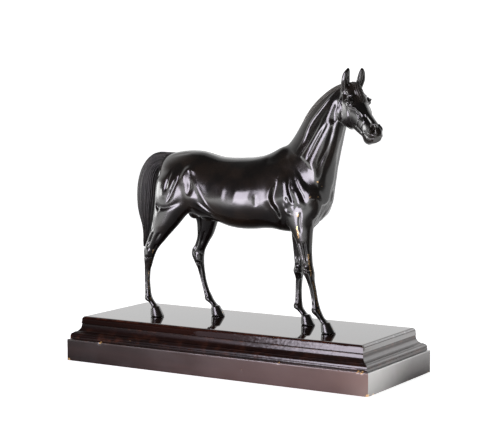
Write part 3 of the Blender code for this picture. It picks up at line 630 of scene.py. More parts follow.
def hoofGrid(leg):
    # a blunt cone from the sole up to the sloping coronet, which rises towards the toe
    soleDepth, topDepth, soleHalf, topHalf, tall, slope = horse["hoof"]
    share = np.array([0, 0.02, 0.06, 0.2, 0.4, 0.6, 0.8, 0.9, 0.95, 0.985, 1.0])
    inset = np.array([0.5, 0.12, 0, 0, 0, 0, 0, 0.0, 0.15, 0.6, 1.4])
    x = leg["sole"] + (leg["coronet"] - leg["sole"]) * share
    depth = soleDepth + (topDepth - soleDepth) * share - inset
    half = soleHalf + (topHalf - soleHalf) * share - inset
    centre = columns(x, leg["side"] * leg["rows"][-1][3], tall * share)
    return ringGrid(centre, columns(0, half, 0), columns(depth, 0, depth * slope * share), 56)


def tailStubGrid():
    x, z, thick, half = throughRows(horse["tailStub"], 6).T
    return ringGrid(columns(x, 0, z), columns(0, half, 0), columns(0, 0, thick), 32)


def oneSkin(name, grids, voxel):
    # the forms joined and wrapped in one even skin of small quads
    points, faces, start = [], [], 0
    for grid in grids:
        more, itsFaces = closedGrid(grid, start)
        points.append(more)
        faces += itsFaces
        start += len(more)
    mesh = meshOf(name, np.vstack(points), faces)
    turnOutward(mesh)
    skin = modified(mesh, "REMESH", mode="VOXEL", voxel_size=voxel * mm)
    sizes = np.empty(len(skin.polygons), np.int32)
    skin.polygons.foreach_get("loop_total", sizes)
    if (sizes != 4).any():
        raise RuntimeError("the skin is not all quads")
    verts, corners = meshArrays(skin)
    return verts, corners.reshape(-1, 4)


class Skin:
    # an even quad skin as arrays, with its smoothing, normals and strokes

    def __init__(self, verts, quads):
        self.verts, self.quads = verts, quads
        edges = np.vstack([quads[:, [0, 1]], quads[:, [1, 2]], quads[:, [2, 3]], quads[:, [3, 0]]])
        edges = np.unique(np.sort(edges, axis=1), axis=0)
        self.edges = np.vstack([edges, edges[:, ::-1]])
        self.degree = np.bincount(self.edges[:, 0], minlength=len(verts)).astype(float)

    def around(self, values):
        # the mean of each point's neighbours
        a, b = self.edges.T
        count = len(self.verts)
        sums = [np.bincount(a, weights=values[b, k], minlength=count) for k in range(values.shape[1])]
        return np.stack(sums, -1) / self.degree[:, None]

    def relax(self, rounds, weight=1.0, keepSize=False):
        # each round moves points halfway to their neighbours' mean
        # keepSize pushes most of the shrinking back
        weight = np.broadcast_to(np.asarray(weight, float), len(self.verts))[:, None]
        for _ in range(rounds):
            self.verts = self.verts + 0.5 * weight * (self.around(self.verts) - self.verts)
            if keepSize:
                self.verts = self.verts - 0.52 * weight * (self.around(self.verts) - self.verts)

    def normals(self):
        q = self.verts[self.quads]
        face = np.cross(q[:, 2] - q[:, 0], q[:, 3] - q[:, 1])
        total = np.zeros_like(self.verts)
        for corner in range(4):
            for k in range(3):
                total[:, k] += np.bincount(self.quads[:, corner], weights=face[:, k], minlength=len(total))
        return total / np.maximum(np.linalg.norm(total, axis=1, keepdims=True), 1e-12)


# muscles, tendons and folds as strokes over the skin. Each: width, height, side-view points (x, z), with a
# sideways place where it isn't on the flank. It stands out by height along its line, a groove where that is
# negative. An "edge" lifts the ground on its left-hand side, seen from the horse's right, and fades out
# over its reach.

trunkStrokes = [
    ("crest line", 1.1, 0.7, [(127, 272), (107.5, 252), (92, 232), (84, 213), (76, 203)]),
    ("under crest", 3.6, -0.6, [(120, 258), (104, 238), (91, 219), (82, 204)]),
    ("upper neck strap", 4.0, 0.5, [(110, 234), (100.8, 219.5), (92.5, 206), (84, 192)]),
    ("lower neck strap", 4.4, 0.6, [(119, 229), (109.6, 214), (103.5, 201), (97, 186), (95, 173)]),
    ("between straps", 1.4, -1.0, [(114, 233), (105, 217), (97.5, 203), (91, 189)]),
    ("above straps", 1.8, -0.8, [(106, 236), (97.5, 220.5), (89, 206), (80, 193)]),
    ("poll hollow", 5.0, -1.8, [(127, 252), (122.5, 238)]),
    ("throat groove", 2.6, -1.3, [(125, 240), (120.5, 221), (114, 204), (107.5, 188), (105, 172)]),
    ("windpipe", 3.4, 0.6, [(127.5, 224), (122.5, 204), (116.5, 182)]),
    ("shoulder front", 3.4, 0.8, [(80, 194), (90, 188), (98, 179.5), (102, 170), (103, 160)], "edge"),
    ("shoulder crease", 2.2, -0.6, [(78, 196), (88, 190), (95, 184), (101, 176)]),
    ("blade spine", 3.0, 0.7, [(62, 197), (74, 182), (87, 166), (97, 154)]),
    ("behind spine", 3.5, -0.5, [(58, 186), (70, 172), (80, 160)]),
    ("shoulder point", 6.5, 1.8, [(101, 157), (101.5, 150)]),
    ("long triceps", 7.0, 1.6, [(60, 176), (65, 162), (69, 148), (72, 138)]),
    ("side triceps", 4.0, 1.1, [(78, 160), (85, 149), (88, 138)]),
    ("triceps split", 2.0, -1.0, [(71, 173), (73, 160), (78, 148), (80, 138)]),
    ("arm split", 2.2, -1.0, [(76, 172), (85, 160), (94, 146)]),
    ("upper strip", 1.8, 0.6, [(78, 170), (91, 154.5)]),
    ("triceps knot", 2.4, 0.7, [(74, 148), (78, 144)]),
    ("elbow dimple", 1.5, -0.7, [(70.5, 148.5), (71.5, 147)]),
    ("elbow strap", 1.6, 0.8, [(65.5, 144), (68.5, 134.5), (77, 130.5)]),
    ("triceps rear", 1.6, 1.7, [(57, 116), (60, 126), (57, 136), (51.5, 143), (50, 152), (55, 168)], "edge"),
    ("girth hollow", 5.0, -1.3, [(45, 146), (50, 133), (55, 120)]),
    ("forearm groove", 1.8, -0.8, [(88, 134), (87, 122), (89, 110)]),
    ("breast swell", 6.5, 1.5, [(106, 143, 9), (99, 132, 11)]),
    ("breast furrow", 2.4, -1.8, [(111, 168, 0), (112.5, 152, 0), (107, 137, 0), (97, 122, 0)]),
    ("neck base", 3.0, -0.8, [(112, 172, 4), (108, 164, 11), (104, 163, 16)]),
    ("rib hollow", 2.2, -0.5, [(31.5, 141.5), (31.5, 148)]),
    ("first rib", 4.0, 0.28, [(25, 166), (21, 142)]),
    ("second rib", 4.0, 0.3, [(9, 166), (5, 140)]),
    ("third rib", 4.0, 0.34, [(-8, 166), (-13, 142)]),
    ("rib arch", 9.0, 0.5, [(40, 160), (20, 154), (-8, 150)]),
    ("back furrow", 2.6, -0.3, [(26, 196, 0), (0, 192, 0), (-30, 192, 0), (-70, 198, 0)]),
    ("loin muscle", 6.5, 0.2, [(30, 192, 11), (0, 188, 12), (-30, 189, 12), (-52, 193, 12)]),
    ("withers side", 6.0, -0.8, [(38, 190), (48, 191), (58, 196)]),
    ("hip point", 4.2, 1.5, [(-67, 160), (-67, 169), (-61.5, 177), (-50, 173.5)]),
    ("thigh hollow", 3.6, -1.4, [(-58, 166), (-57, 156), (-60, 146)]),
    ("flank line", 1.0, 0.75, [(-56, 171), (-47, 157), (-37, 142.5), (-28, 132), (-17, 126)]),
    ("flank web", 4.5, -0.7, [(-52, 160), (-46, 148), (-39, 138)]),
    ("flank hollow", 8.0, -0.7, [(-40, 176), (-37, 166), (-31, 152)]),
    ("fold underside", 1.4, 1.5, [(-47, 139), (-37, 132), (-25, 124.5)]),
    ("under fold", 2.2, -1.5, [(-50, 136), (-41, 129.5), (-31, 123)]),
    ("stifle", 7.0, 1.3, [(-57, 143), (-56, 135)]),
    ("front thigh", 4.6, 0.5, [(-72, 156), (-76, 147), (-80, 139)]),
    ("mid thigh", 3.0, 0.7, [(-78, 168), (-82, 158), (-86, 150)]),
    ("rear thigh", 4.0, 0.7, [(-94, 150), (-94.5, 145)]),
    ("front thigh groove", 1.9, -0.9, [(-72, 172), (-78, 158), (-84, 145), (-90, 135)]),
    ("mid thigh groove", 1.9, -0.9, [(-86, 174), (-89, 160), (-92, 149)]),
    ("thigh cross groove", 2.6, -0.8, [(-108, 138), (-98, 131), (-86, 133), (-70, 139)]),
    ("gaskin pocket", 2.0, -1.6, [(-107, 133), (-103, 130)]),
    ("croup furrow", 3.0, -0.6, [(-66, 194, 8), (-84, 192, 9), (-98, 187, 9)]),
]


def nearestSurface(skin, normals, x, z, side):
    # the skin point nearest to (x, z) in side view, on the outside of that side
    far = (skin.verts[:, 0] - x) ** 2 + (skin.verts[:, 2] - z) ** 2
    far = far - 0.25 * side * skin.verts[:, 1] + np.where(side * normals[:, 1] > 0.15, 0, 60.0)
    return skin.verts[np.argmin(far)]


def strokePath(skin, normals, points, side):
    # a smooth 3-D path through the points; a point without a sideways place lies on the skin
    places = [
        nearestSurface(skin, normals, *p, side) if len(p) == 2 else np.array([p[0], side * p[2], p[1]])
        for p in points
    ]
    return throughRows(places, 4) if len(places) > 2 else np.array(places)


def pathDistance(verts, path):
    # distance from each point to the path, how far along it the nearest place is, and which side it is on
    best = np.full(len(verts), 1e9)
    signed, along = np.zeros(len(verts)), np.zeros(len(verts))
    lengths = np.linalg.norm(np.diff(path, axis=0), axis=1)
    starts = np.concatenate([[0], np.cumsum(lengths)])
    for a, b, start, length in zip(path[:-1], path[1:], starts, lengths):
        line = b - a
        t = np.clip(((verts - a) @ line) / max(line @ line, 1e-9), 0, 1)
        gap = verts - (a + t[:, None] * line)
        away = np.linalg.norm(gap, axis=1)
        closer = away < best
        turn = line[0] * gap[:, 2] - line[2] * gap[:, 0]
        signed[closer] = np.sign(turn[closer]) * away[closer]
        along[closer] = start + t[closer] * length
        best[closer] = away[closer]
    return best, signed, along, starts[-1]


def applyStrokes(skin, strokes, sides=(-1, 1), fade=None):
    # moves each point along its normal by the sum of the strokes: height * exp(-(distance / width)^2), or
    # for an edge height * tanh(signed distance / width) * exp(-(distance / (5 * width))^2)
    normals = skin.normals()
    move = np.zeros(len(skin.verts))
    for _, width, fullHeight, points, *edge in strokes:
        for side in sides:
            path = strokePath(skin, normals, points, side)
            reach = 2.6 * width * (5 if edge else 1)
            low, high = path.min(0) - reach, path.max(0) + reach
            near = np.nonzero(((skin.verts > low) & (skin.verts < high)).all(1))[0]
            away, signed, along, length = pathDistance(skin.verts[near], path)
            if length > 4 * width:
                fadeLength = max(0.3 * length, 2 * width)
                height = fullHeight * ease(along, -0.1 * length, fadeLength)
                height = height * ease(length - along, -0.1 * length, fadeLength)
            else:
                height = fullHeight
            if edge:
                push = height * np.tanh(signed / width) * np.exp(-((away / (5 * width)) ** 2))
            else:
                push = height * np.exp(-((away / width) ** 2))
            middle = all(len(p) == 3 and p[2] == 0 for p in points)
            if not middle:
                push = push * ease(side * normals[near, 1], -0.35, 0.1)
            move[near] += push / (2 if middle and len(sides) == 2 else 1)
    if fade is not None:
        move = move * fade
    skin.verts = skin.verts + normals * move[:, None]


headStrokes = [
    ("forehead", 4.5, 0.5, [(12, 272, 0), (19, 260, 0)]),
    ("cheekbone", 1.5, 1.2, [(13, 251.5), (19, 251.5), (25, 247.5), (31, 243)]),
    ("nose edge", 1.8, 1.6, [(29, 251, 4.4), (37, 244, 4.2), (46, 237.2, 4.0), (53, 231.8, 3.6)]),
    ("beside nose", 2.3, -1.4, [(31, 244.5), (39, 237.5), (46, 232)]),
    ("cheek disc", 6.0, 1.1, [(-3, 245), (2, 238)]),
    ("jaw step", 1.4, 1.6, [(-4, 266), (-6, 253), (-7, 242), (-3, 233.5), (4, 229)], "edge"),
    ("jaw rim", 1.0, 0.8, [(-3, 262), (-4.5, 252), (-5.5, 243), (-2, 235.5), (4, 231.5)]),
    ("cheek front", 1.5, -0.9, [(10.5, 250), (11.5, 242), (10, 234), (11, 229)]),
    ("jaw bar", 1.3, 0.7, [(10, 229.5), (17, 225), (25, 220)]),
    ("above jaw bar", 1.8, -0.8, [(15, 234), (23, 229), (31, 222)]),
    ("eye socket", 3.0, -1.2, [(13, 256.8), (13.8, 256.4)]),
    ("upper lid", 0.9, 1.9, [(9.2, 256.0), (10.6, 259.2), (13.8, 259.8), (17.0, 257.4)]),
    ("lower lid", 0.8, 1.1, [(9.6, 255.2), (12, 253.4), (15.4, 253.8), (17.4, 256.2)]),
    ("brow", 1.7, 1.5, [(6.5, 260.5), (9.8, 263.8), (15.5, 262.8)]),
    ("under forelock", 2.0, -1.9, [(14.5, 266.8, 6.2), (17.5, 265.2, 5.0)]),
    ("temple", 2.4, -2.0, [(3.5, 265.5), (5.5, 261.5)]),
    ("nostril", 1.8, -3.2, [(46.6, 230.6), (49, 229.6), (50.8, 226.6)]),
    ("nostril rim", 1.0, 1.5, [(44.6, 228), (46, 232.6), (50, 232.6), (52.8, 229.2), (52.6, 225)]),
    ("mouth", 0.7, -1.3, [(33.5, 225.5), (40, 222.8), (47, 220.6), (53, 218.6), (56, 218)]),
    ("upper lip", 1.4, 0.7, [(38, 226), (47, 223.4), (54, 221.6)]),
    ("lower lip", 1.2, 0.6, [(38, 220), (45, 217.4), (50, 216)]),
    ("chin", 2.6, 0.9, [(30.5, 214.5, 0), (34.5, 213.5, 0)]),
    ("jaw furrow", 2.4, -1.8, [(8, 228, 0), (18, 223, 0), (27, 217.5, 0)]),
    ("face vein", 0.6, 0.45, [(21, 248), (25, 241), (23, 234), (17, 229)]),
    ("muzzle vein", 0.6, 0.4, [(31, 243), (33.5, 237), (30, 231), (25, 226.5)]),
    ("cross vein", 0.5, 0.35, [(24.5, 240), (32.5, 236)]),
    ("ear hollow", 2.1, -2.8, [(3.0, 272, 7.8), (5.0, 280, 8.4), (6.4, 287, 8.4)]),
    ("forelock", 3.2, 1.2, [(5, 281, 0), (12, 273.5, 0), (18, 262.5, 0)]),
    ("poll dip", 2.5, -0.9, [(-9, 277, 0), (-4, 279, 0)]),
]
# legs: height above (or below) the knee or hock, and place from back (-1) to front (1) of the leg
foreStrokes = [
    ("forearm front", 1.5, -1.3, [(42, 0.35), (28, 0.3), (11, 0.35)]),
    ("forearm rear", 1.4, -1.2, [(38, -0.4), (25, -0.35), (12, -0.3)]),
    ("knee top", 2.0, -0.5, [(8, 0.3), (6, -0.2)]),
    ("knee side", 2.6, 0.9, [(2.5, 0.15), (0.5, 0.1)]),
    ("knee fold", 0.8, -0.8, [(1.5, 0.85), (1.2, 0.2), (1.8, -0.4)]),
    ("knee back bone", 2.0, 1.3, [(2.5, -0.9), (0.5, -0.95)]),
    ("under knee", 2.4, -0.6, [(-6, -0.9), (-9, -0.9)]),
    ("tendon groove", 1.0, -1.1, [(-7, -0.3), (-20, -0.3), (-34, -0.3)]),
]
hindStrokes = [
    ("gaskin groove", 1.8, -1.3, [(44, 0.3), (28, 0.25), (12, 0.3)]),
    ("string hollow", 2.0, -2.2, [(32, -0.5), (18, -0.5), (5, -0.45)]),
    ("hock side", 2.6, 0.9, [(-1, 0.1), (-5, 0.1)]),
    ("hock front", 1.6, -0.9, [(6, 0.7), (2, 0.75)]),
    ("hock knob", 1.8, 0.9, [(-10, 0.0), (-12, 0.0)]),
    ("hock crease", 0.8, -0.9, [(-8, 0.8), (-8.6, 0.1), (-8, -0.5)]),
    ("tendon groove", 1.0, -1.1, [(-17, -0.3), (-30, -0.3), (-45, -0.3)]),
]
# the same from the fetlock down, heights from its middle
fetlockStrokes = [
    ("fetlock side", 2.0, 0.8, [(0.5, 0.1), (-1, 0.1)]),
    ("fetlock back", 1.8, 0.9, [(1, -0.8), (-1.5, -0.8)]),
    ("ergot", 0.9, 1.1, [(-2.6, -1.0), (-3.4, -1.0)]),
    ("above fetlock", 1.2, -0.9, [(7, -0.35), (3.5, -0.35)]),
    ("pastern back", 1.4, -0.6, [(-6, -0.6), (-9, -0.5)]),
    ("coronet", 1.0, 0.4, [(-11, 0.9), (-11.5, 0.0), (-11, -0.9)]),
]


def buildHorseSkin():
    side, ahead = headWays()
    grids = [trunkGrid(), neckGrid(), headGrid(), earGrid(1), earGrid(-1), tailStubGrid()]
    browS, browZ, browY, browR = horse["brow"]
    for sign in (-1, 1):
        centre = headPoint(browS, browZ, sign * browY)
        grids.append(ballGrid(centre, side * browR, ahead * browR, (0, 0, browR * 1.1)))
    for x, z, long, half, tall in horse["underBody"]:
        grids.append(ballGrid((x, 0, z), (long, 0, 0), (0, half, 0), (0, 0, tall)))
    for leg in legs.values():
        grids += [legGrid(leg), hoofGrid(leg)]
    verts, quads = oneSkin("horse skin", grids, horse["voxel"])
    skin = Skin(verts, quads)
    x, _, z = skin.verts.T
    # broad blends where neck, shoulders and haunches meet the trunk, light ones elsewhere
    trunkPart = ease(z, 108, 126) * (1 - ease(x * 0.481 + z * 0.877, 236, 262)) * ease(x, -122, -112)
    skin.relax(50, trunkPart)
    skin.relax(3, 1.0, keepSize=True)
    applyStrokes(skin, trunkStrokes)
    skin.relax(5, 1.0, keepSize=True)
    print("horse skin:", len(skin.verts), "points")
    return skin


skin = buildHorseSkin()


def headFrame(points, back=False):
    # level turn of the points into the head's own frame (forward, sideways, height), or back out of it
    turn = np.radians(horse["headTurn"])
    cosine, sine = np.cos(turn), np.sin(turn)
    x, y, z = points.T
    pollX, pollY = horse["poll"]
    if back:
        return np.stack([pollX + x * cosine + y * sine, pollY - x * sine + y * cosine, z], -1)
    x, y = x - pollX, y - pollY
    return np.stack([x * cosine - y * sine, x * sine + y * cosine, z], -1)


def detailHead(part, fade):
    # the head's strokes, then strands on forelock and mane
    part.verts = headFrame(part.verts)
    applyStrokes(part, headStrokes, fade=fade)
    part.relax(1, fade, keepSize=True)
    normals = part.normals()
    path = throughRows([(4, 0, 281), (11, 0, 274.5), (16, 0.5, 267), (19, 1, 260)], 6)
    away, _, _, _ = pathDistance(part.verts, path)
    lock = np.exp(-((away / 5.6) ** 4)) * ease(normals[:, 0] + normals[:, 2], 0.0, 0.5)
    wave = np.sin(2 * np.pi * part.verts[:, 1] / 1.7 + 1.6 * np.sin(part.verts[:, 2] * 0.4))
    part.verts = headFrame(part.verts, back=True)
    normals = part.normals()
    crest = np.array([(row[0], row[5], row[1]) for row in throughRows(horse["neck"], 8)])
    away, _, along, _ = pathDistance(part.verts, crest)
    mane = ease(-away, -8.5, -5.5) * (along > 1)
    comb = np.sin(2 * np.pi * (along - 0.55 * away) / 1.9 + 1.3 * np.sin(along * 0.31))
    part.verts = part.verts + normals * ((0.42 * lock * wave + (0.2 * comb + 0.25) * mane) * fade)[:, None]
    return np.clip(lock + mane, 0, 1)


def legPlace(leg, height, share, face):
    # a point on the leg's skin: share runs from back to front, face is 1 outside and -1 inside
    z, x, depth, y, half = throughRows(leg["rows"], 8).T[:, ::-1]
    at = [np.interp(height, z, column) for column in (x, depth, y, half)]
    return np.array(
        [
            at[0] + share * at[1],
            leg["side"] * (at[2] + face * at[3] * np.sqrt(1 - min(share * share, 1))),
            height,
        ]
    )


def detailLeg(part, node, fade):
    leg = legs[node]
    normals = part.normals()
    move = np.zeros(len(part.verts))
    main = foreStrokes if "fore" in node else hindStrokes
    for strokes, level in ((main, leg["bend"]), (fetlockStrokes, leg["fetlock"])):
        for _, width, height, points in strokes:
            for face in (1, -1):
                places = [legPlace(leg, level + up, share, face) for up, share in points]
                path = throughRows(places, 4) if len(places) > 2 else np.array(places)
                away, _, along, length = pathDistance(part.verts, path)
                fall = np.exp(-((away / width) ** 2))
                if length > 4 * width:
                    fall = fall * ease(along, -0.1 * length, 0.25 * length)
                    fall = fall * ease(length - along, -0.1 * length, 0.25 * length)
                shared = 0.5 if abs(points[0][1]) > 0.85 and len(points) == 2 else 1.0
                move += shared * height * fall
    part.verts = part.verts + normals * (move * fade)[:, None]
    part.relax(1, fade, keepSize=True)


def wearAlong(verts, path, width):
    away, _, _, _ = pathDistance(verts, np.asarray(path, float))
    return np.exp(-((away / width) ** 2))


def halved(mesh):
    # every face cut into quads through its middle, keeping the shape and the stored normals
    return modified(mesh, "SUBSURF", subdivision_type="SIMPLE", levels=1, render_levels=1)


def neckPlane():
    # the neck joint: across the neck line, between the middles of its fifth and sixth rows
    middles = np.array([((r[0] + r[2]) / 2, (r[1] + r[3]) / 2) for r in horse["neck"]])
    place = (middles[4] + middles[5]) / 2
    line = middles[6] - middles[3]
    return np.array([place[0], 0, place[1]]), np.array([line[0], 0, line[1]]) / np.hypot(*line)


def cutSkin(skin):
    # the skin cut along the casting joints, with its smooth normals stored on the points
    mesh = meshOf("whole horse", skin.verts, skin.quads.tolist())
    stored = mesh.attributes.new("wholeNormal", "FLOAT_VECTOR", "POINT")
    stored.data.foreach_set("vector", skin.normals().astype(np.float32).ravel())
    work = bmesh.new()
    work.from_mesh(mesh)
    neckPoint, neckLine = neckPlane()
    for place, line in (((0, 0, horse["jointHeight"] * mm), (0, 0, 1)), (neckPoint * mm, neckLine)):
        bmesh.ops.bisect_plane(
            work,
            geom=work.verts[:] + work.edges[:] + work.faces[:],
            dist=1e-7,
            plane_co=place,
            plane_no=line,
        )
    work.to_mesh(mesh)
    work.free()
    return mesh


castingNodes = ["body", "head_and_neck", "right_hind_leg", "left_hind_leg", "left_fore_leg", "right_fore_leg"]


def partOfFace(mesh):
    # which casting each face belongs to
    centres = np.empty(len(mesh.polygons) * 3, np.float32)
    mesh.polygons.foreach_get("center", centres)
    centres = centres.reshape(-1, 3) / mm
    neckPoint, neckLine = neckPlane()
    below = centres[:, 2] < horse["jointHeight"]
    fore, left = centres[:, 0] > 0, centres[:, 1] > 0
    part = np.zeros(len(centres), int)
    legKinds = [(False, False), (False, True), (True, True), (True, False)]
    for number, (isFore, isLeft) in enumerate(legKinds, 2):
        part[below & (fore == isFore) & (left == isLeft)] = number
    part[(centres - neckPoint) @ neckLine > 0] = 1
    return part


def patchOf(mesh, chosen, name):
    # a mesh of the chosen faces only, with their stored normals
    work = bmesh.new()
    work.from_mesh(mesh)
    work.faces.ensure_lookup_table()
    bmesh.ops.delete(work, geom=[work.faces[i] for i in np.nonzero(~chosen)[0]], context="FACES")
    patch = bpy.data.meshes.new(name)
    work.to_mesh(patch)
    work.free()
    return patch


def finishCasting(node, patch):
    if node != "body":
        patch = halved(patch)
    verts, corners = meshArrays(patch)
    stored = np.empty(len(verts) * 3, np.float32)
    patch.attributes["wholeNormal"].data.foreach_get("vector", stored)
    normals = stored.reshape(-1, 3).astype(float)
    normals /= np.linalg.norm(normals, axis=1, keepdims=True)
    hair = np.zeros(len(verts))
    neckPoint, neckLine = neckPlane()
    if node != "body":
        part = Skin(verts, corners.reshape(-1, 4))
        border = horse["jointHeight"] - verts[:, 2]
        if node == "head_and_neck":
            border = (verts - neckPoint) @ neckLine
        fade = ease(border, 0.5, 5.0)
        part.relax(3, fade, keepSize=True)
        if node == "head_and_neck":
            hair = detailHead(part, fade)
        else:
            detailLeg(part, node, fade)
            hair = 0.15 * (1 - ease(part.verts[:, 2], 9.5, 12.5))
        normals = normals * (1 - fade[:, None]) + part.normals() * fade[:, None]
        normals /= np.linalg.norm(normals, axis=1, keepdims=True)
        verts = part.verts
    wear = wearOf(node, verts)
    storeValues(patch, wear=wear, hair=hair)
    verts = verts + np.array([0, 0, horse["lift"]])
    patch.vertices.foreach_set("co", (verts * mm).astype(np.float32).ravel())
    work = bmesh.new()
    work.from_mesh(patch)
    bmesh.ops.holes_fill(work, edges=[e for e in work.edges if e.is_boundary], sides=0)
    work.to_mesh(patch)
    work.free()
    patch.attributes.remove(patch.attributes["wholeNormal"])
    casting = placePiece(node + "_casting", patch, bronze, "patinated_bronze", node)
    patch.normals_split_custom_set_from_vertices(normals.tolist())
    return casting


bodyWear = [
    (2.0, [(105, -18, 168.5), (106.5, -16, 166.5), (107.5, -15, 163.5)]),
    (1.8, [(99, -24, 151.5), (102, -22, 150.2), (105.5, -19, 151.5)]),
    (1.4, [(84.5, -27.5, 133), (85.5, -27.5, 130)]),
    (1.3, [(84, -27, 118), (86, -27, 106)]),
]
headWear = [(1.2, [(20, -12, 249), (21.5, -12, 247)]), (0.9, [(44, -7, 236), (50, -6, 233)])]


def wearOf(node, verts):
    # bright metal where hands have rubbed: chest, cheek, and the fronts of the legs and hooves
    wear = np.zeros(len(verts))
    if node == "body":
        for width, path in bodyWear:
            wear = np.maximum(wear, wearAlong(verts, path, width))
    elif node == "head_and_neck":
        for width, path in headWear:
            wear = np.maximum(wear, 0.8 * wearAlong(headFrame(verts), path, width))
    else:
        leg = legs[node]
        bend, fetlock = leg["bend"], leg["fetlock"]
        fore = "fore" in node
        amount = {"right_hind_leg": 0.6, "left_hind_leg": 0.78}.get(node, 0.8)
        for top, bottom, share, width in (
            (bend + (20 if fore else 5), bend - 3, 0.72, 1.3),
            (bend - 10, fetlock + 6, 0.82, 0.8),
            (fetlock + 2, fetlock - 2, 0.8, 0.9),
        ):
            heights = np.linspace(top, bottom, 6)
            path = [legPlace(leg, z, share, 1) for z in heights]
            wear = np.maximum(wear, amount * wearAlong(verts, path, width))
        y = leg["side"] * leg["rows"][-1][3]
        hoof = wearAlong(verts, [(leg["coronet"] + 5.4, y, 12), (leg["sole"] + 8.6, y, 1)], 1.5)
        wear = np.maximum(wear, 0.55 * amount * hoof)
    x, y, z = verts.T
    return wear * (0.85 + 0.4 * np.sin(1.9 * x + 0.7 * z) * np.sin(1.4 * z - 0.8 * y))


def castHorse():
    cut = cutSkin(skin)
    part = partOfFace(cut)
    castings = {}
    for number, node in enumerate(castingNodes):
        patch = patchOf(cut, part == number, node)
        castings[node] = finishCasting(node, patch)
    print("castings:", {node: len(piece.data.polygons) for node, piece in castings.items()})
    return castings


castings = castHorse()

eyes = {"place": (13.2, 256.6), "sideways": 13.1, "radius": 2.5}


def buildEyes():
    forward, height = eyes["place"]
    for name, sign in (("right_eye", -1), ("left_eye", 1)):
        centre = headPoint(forward, height, sign * eyes["sideways"]) + np.array([0, 0, horse["lift"]])
        r = eyes["radius"]
        points, faces = closedGrid(ballGrid(centre, (0, 0, r), (r, 0, 0), (0, r, 0), 16, 24))
        piece = pieceOf(name, points, faces, bronze, "patinated_bronze", "head_and_neck")
        for key in ("wear", "hair"):
            piece.data.attributes.new(key, "FLOAT", "POINT")
    print("eyes set")


buildEyes()

# tail: a hank of hair, matt beside the body

tail = {
    # x, height, half thickness, half width
    "rows": [
        (-88, 190.5, 4.5, 3.6), (-97, 189, 5.6, 4.8), (-107, 187.3, 6.9, 5.8), (-117, 186, 8.2, 6.6),
        (-125.5, 181.5, 9.7, 7.8), (-132, 172.5, 11.0, 8.8), (-135.8, 161, 11.9, 9.4),
        (-137.4, 148, 12.4, 9.6), (-138.4, 131, 11.0, 9.2), (-138.6, 118.5, 8.6, 7.8),
        (-138.2, 106, 5.4, 6), (-138.6, 96, 3.7, 4.4), (-140.4, 86, 2.4, 2.8), (-142.5, 80, 1.2, 1.4),
    ],
    "around": 220,
    "lockDepth": 1.2,
    "hairDepth": 0.2,
}


def tailGrid():
    # rings across the tail's curved middle line; each ring's radius is 1 + locks + fine hair, where locks are
    # folded sine waves round the ring that drift sideways on the way down
    rows = throughRows(tail["rows"], 16)
    x, z, thick, half = rows.T
    slope = np.gradient(rows[:, :2], axis=0)
    slope /= np.linalg.norm(slope, axis=1, keepdims=True)
    t = np.linspace(0, 1, len(rows))[:, None]
    a = np.linspace(0, 2 * np.pi, tail["around"], endpoint=False)[None, :]
    locks = (
        0.5 * np.abs(np.sin(1.5 * a + 2.6 * t + 0.5 * np.sin(5 * t)))
        + 0.35 * np.abs(np.sin(3.5 * a - 3.4 * t + 1.0 + 0.6 * np.sin(7 * t + a)))
        + 0.25 * np.abs(np.sin(7.5 * a + 4.2 * t + 0.4 * np.sin(9 * t)))
    )
    hairs = np.sin(31 * a + 5 * np.sin(3.1 * t) + 1.5 * np.sin(2 * a)) + 0.6 * np.sin(47 * a - 4 * t)
    start = ease(t, 0.02, 0.2)
    out = tail["lockDepth"] * (locks - 0.55) * start + tail["hairDepth"] * hairs * ease(t, 0.0, 0.1)
    out = out * ease(1.02 - t, 0, 0.12)
    across = columns(-slope[:, 1], 0, slope[:, 0])
    sideways = (half[:, None] + out) * np.cos(a)
    depth = (thick[:, None] + out) * np.sin(a)
    centre = columns(x, 0, z + horse["lift"])
    sideways = sideways[..., None] * np.array([0, 1, 0])
    return centre[:, None, :] + sideways + depth[..., None] * across[:, None, :]


def hairMaterial():
    # brown-black, matt, with fine streaks that follow the hair by the piece's own map
    material, tree, shader = newMaterial("chased hair")
    place = addNode(tree, "ShaderNodeUVMap", uv_map="alongHair").outputs["UV"]
    streaks = noiseNode(tree, place, 9.0, 5.0, 0.6, stretch=(9.0, 0.7, 1.0))
    clouds = noiseNode(tree, objectPoint(tree), 60.0, 3.0)
    shade = times(tree, streaks, clouds)
    colour = mixColour(tree, rangeNode(tree, shade, 0.18, 0.42), patina["dark"], (0.030, 0.024, 0.020, 1.0))
    feed(tree, colour, shader.inputs["Base Color"])
    feed(tree, rangeNode(tree, streaks, 0.3, 0.7, 0.30, 0.55), shader.inputs["Roughness"])
    shader.inputs["Specular IOR Level"].default_value = 0.4
    pits = noiseNode(tree, objectPoint(tree), 520.0, 3.0)
    chased = plus(tree, streaks, times(tree, pits, 0.9))
    feed(tree, bumpNode(tree, chased, 0.6, 0.0007), shader.inputs["Normal"])
    return material


def buildTail():
    grid = tailGrid()
    points, faces = closedGrid(grid)
    piece = pieceOf("tail_hair", points, faces, hairMaterial(), "patinated_bronze", "tail")
    mesh = piece.data
    rows, count, _ = grid.shape
    corners = meshArrays(mesh)[1]
    u = np.append(np.tile(np.abs(np.linspace(-1, 1, count, endpoint=False)), rows), [0, 0])
    v = np.append(np.repeat(np.linspace(0, 1, rows), count), [0, 1])
    place = np.stack([u[corners], v[corners]], -1).astype(np.float32)
    mesh.uv_layers.new(name="alongHair").data.foreach_set("uv", place.ravel())
    print("tail:", len(mesh.polygons), "faces")


buildTail()


# the plinth

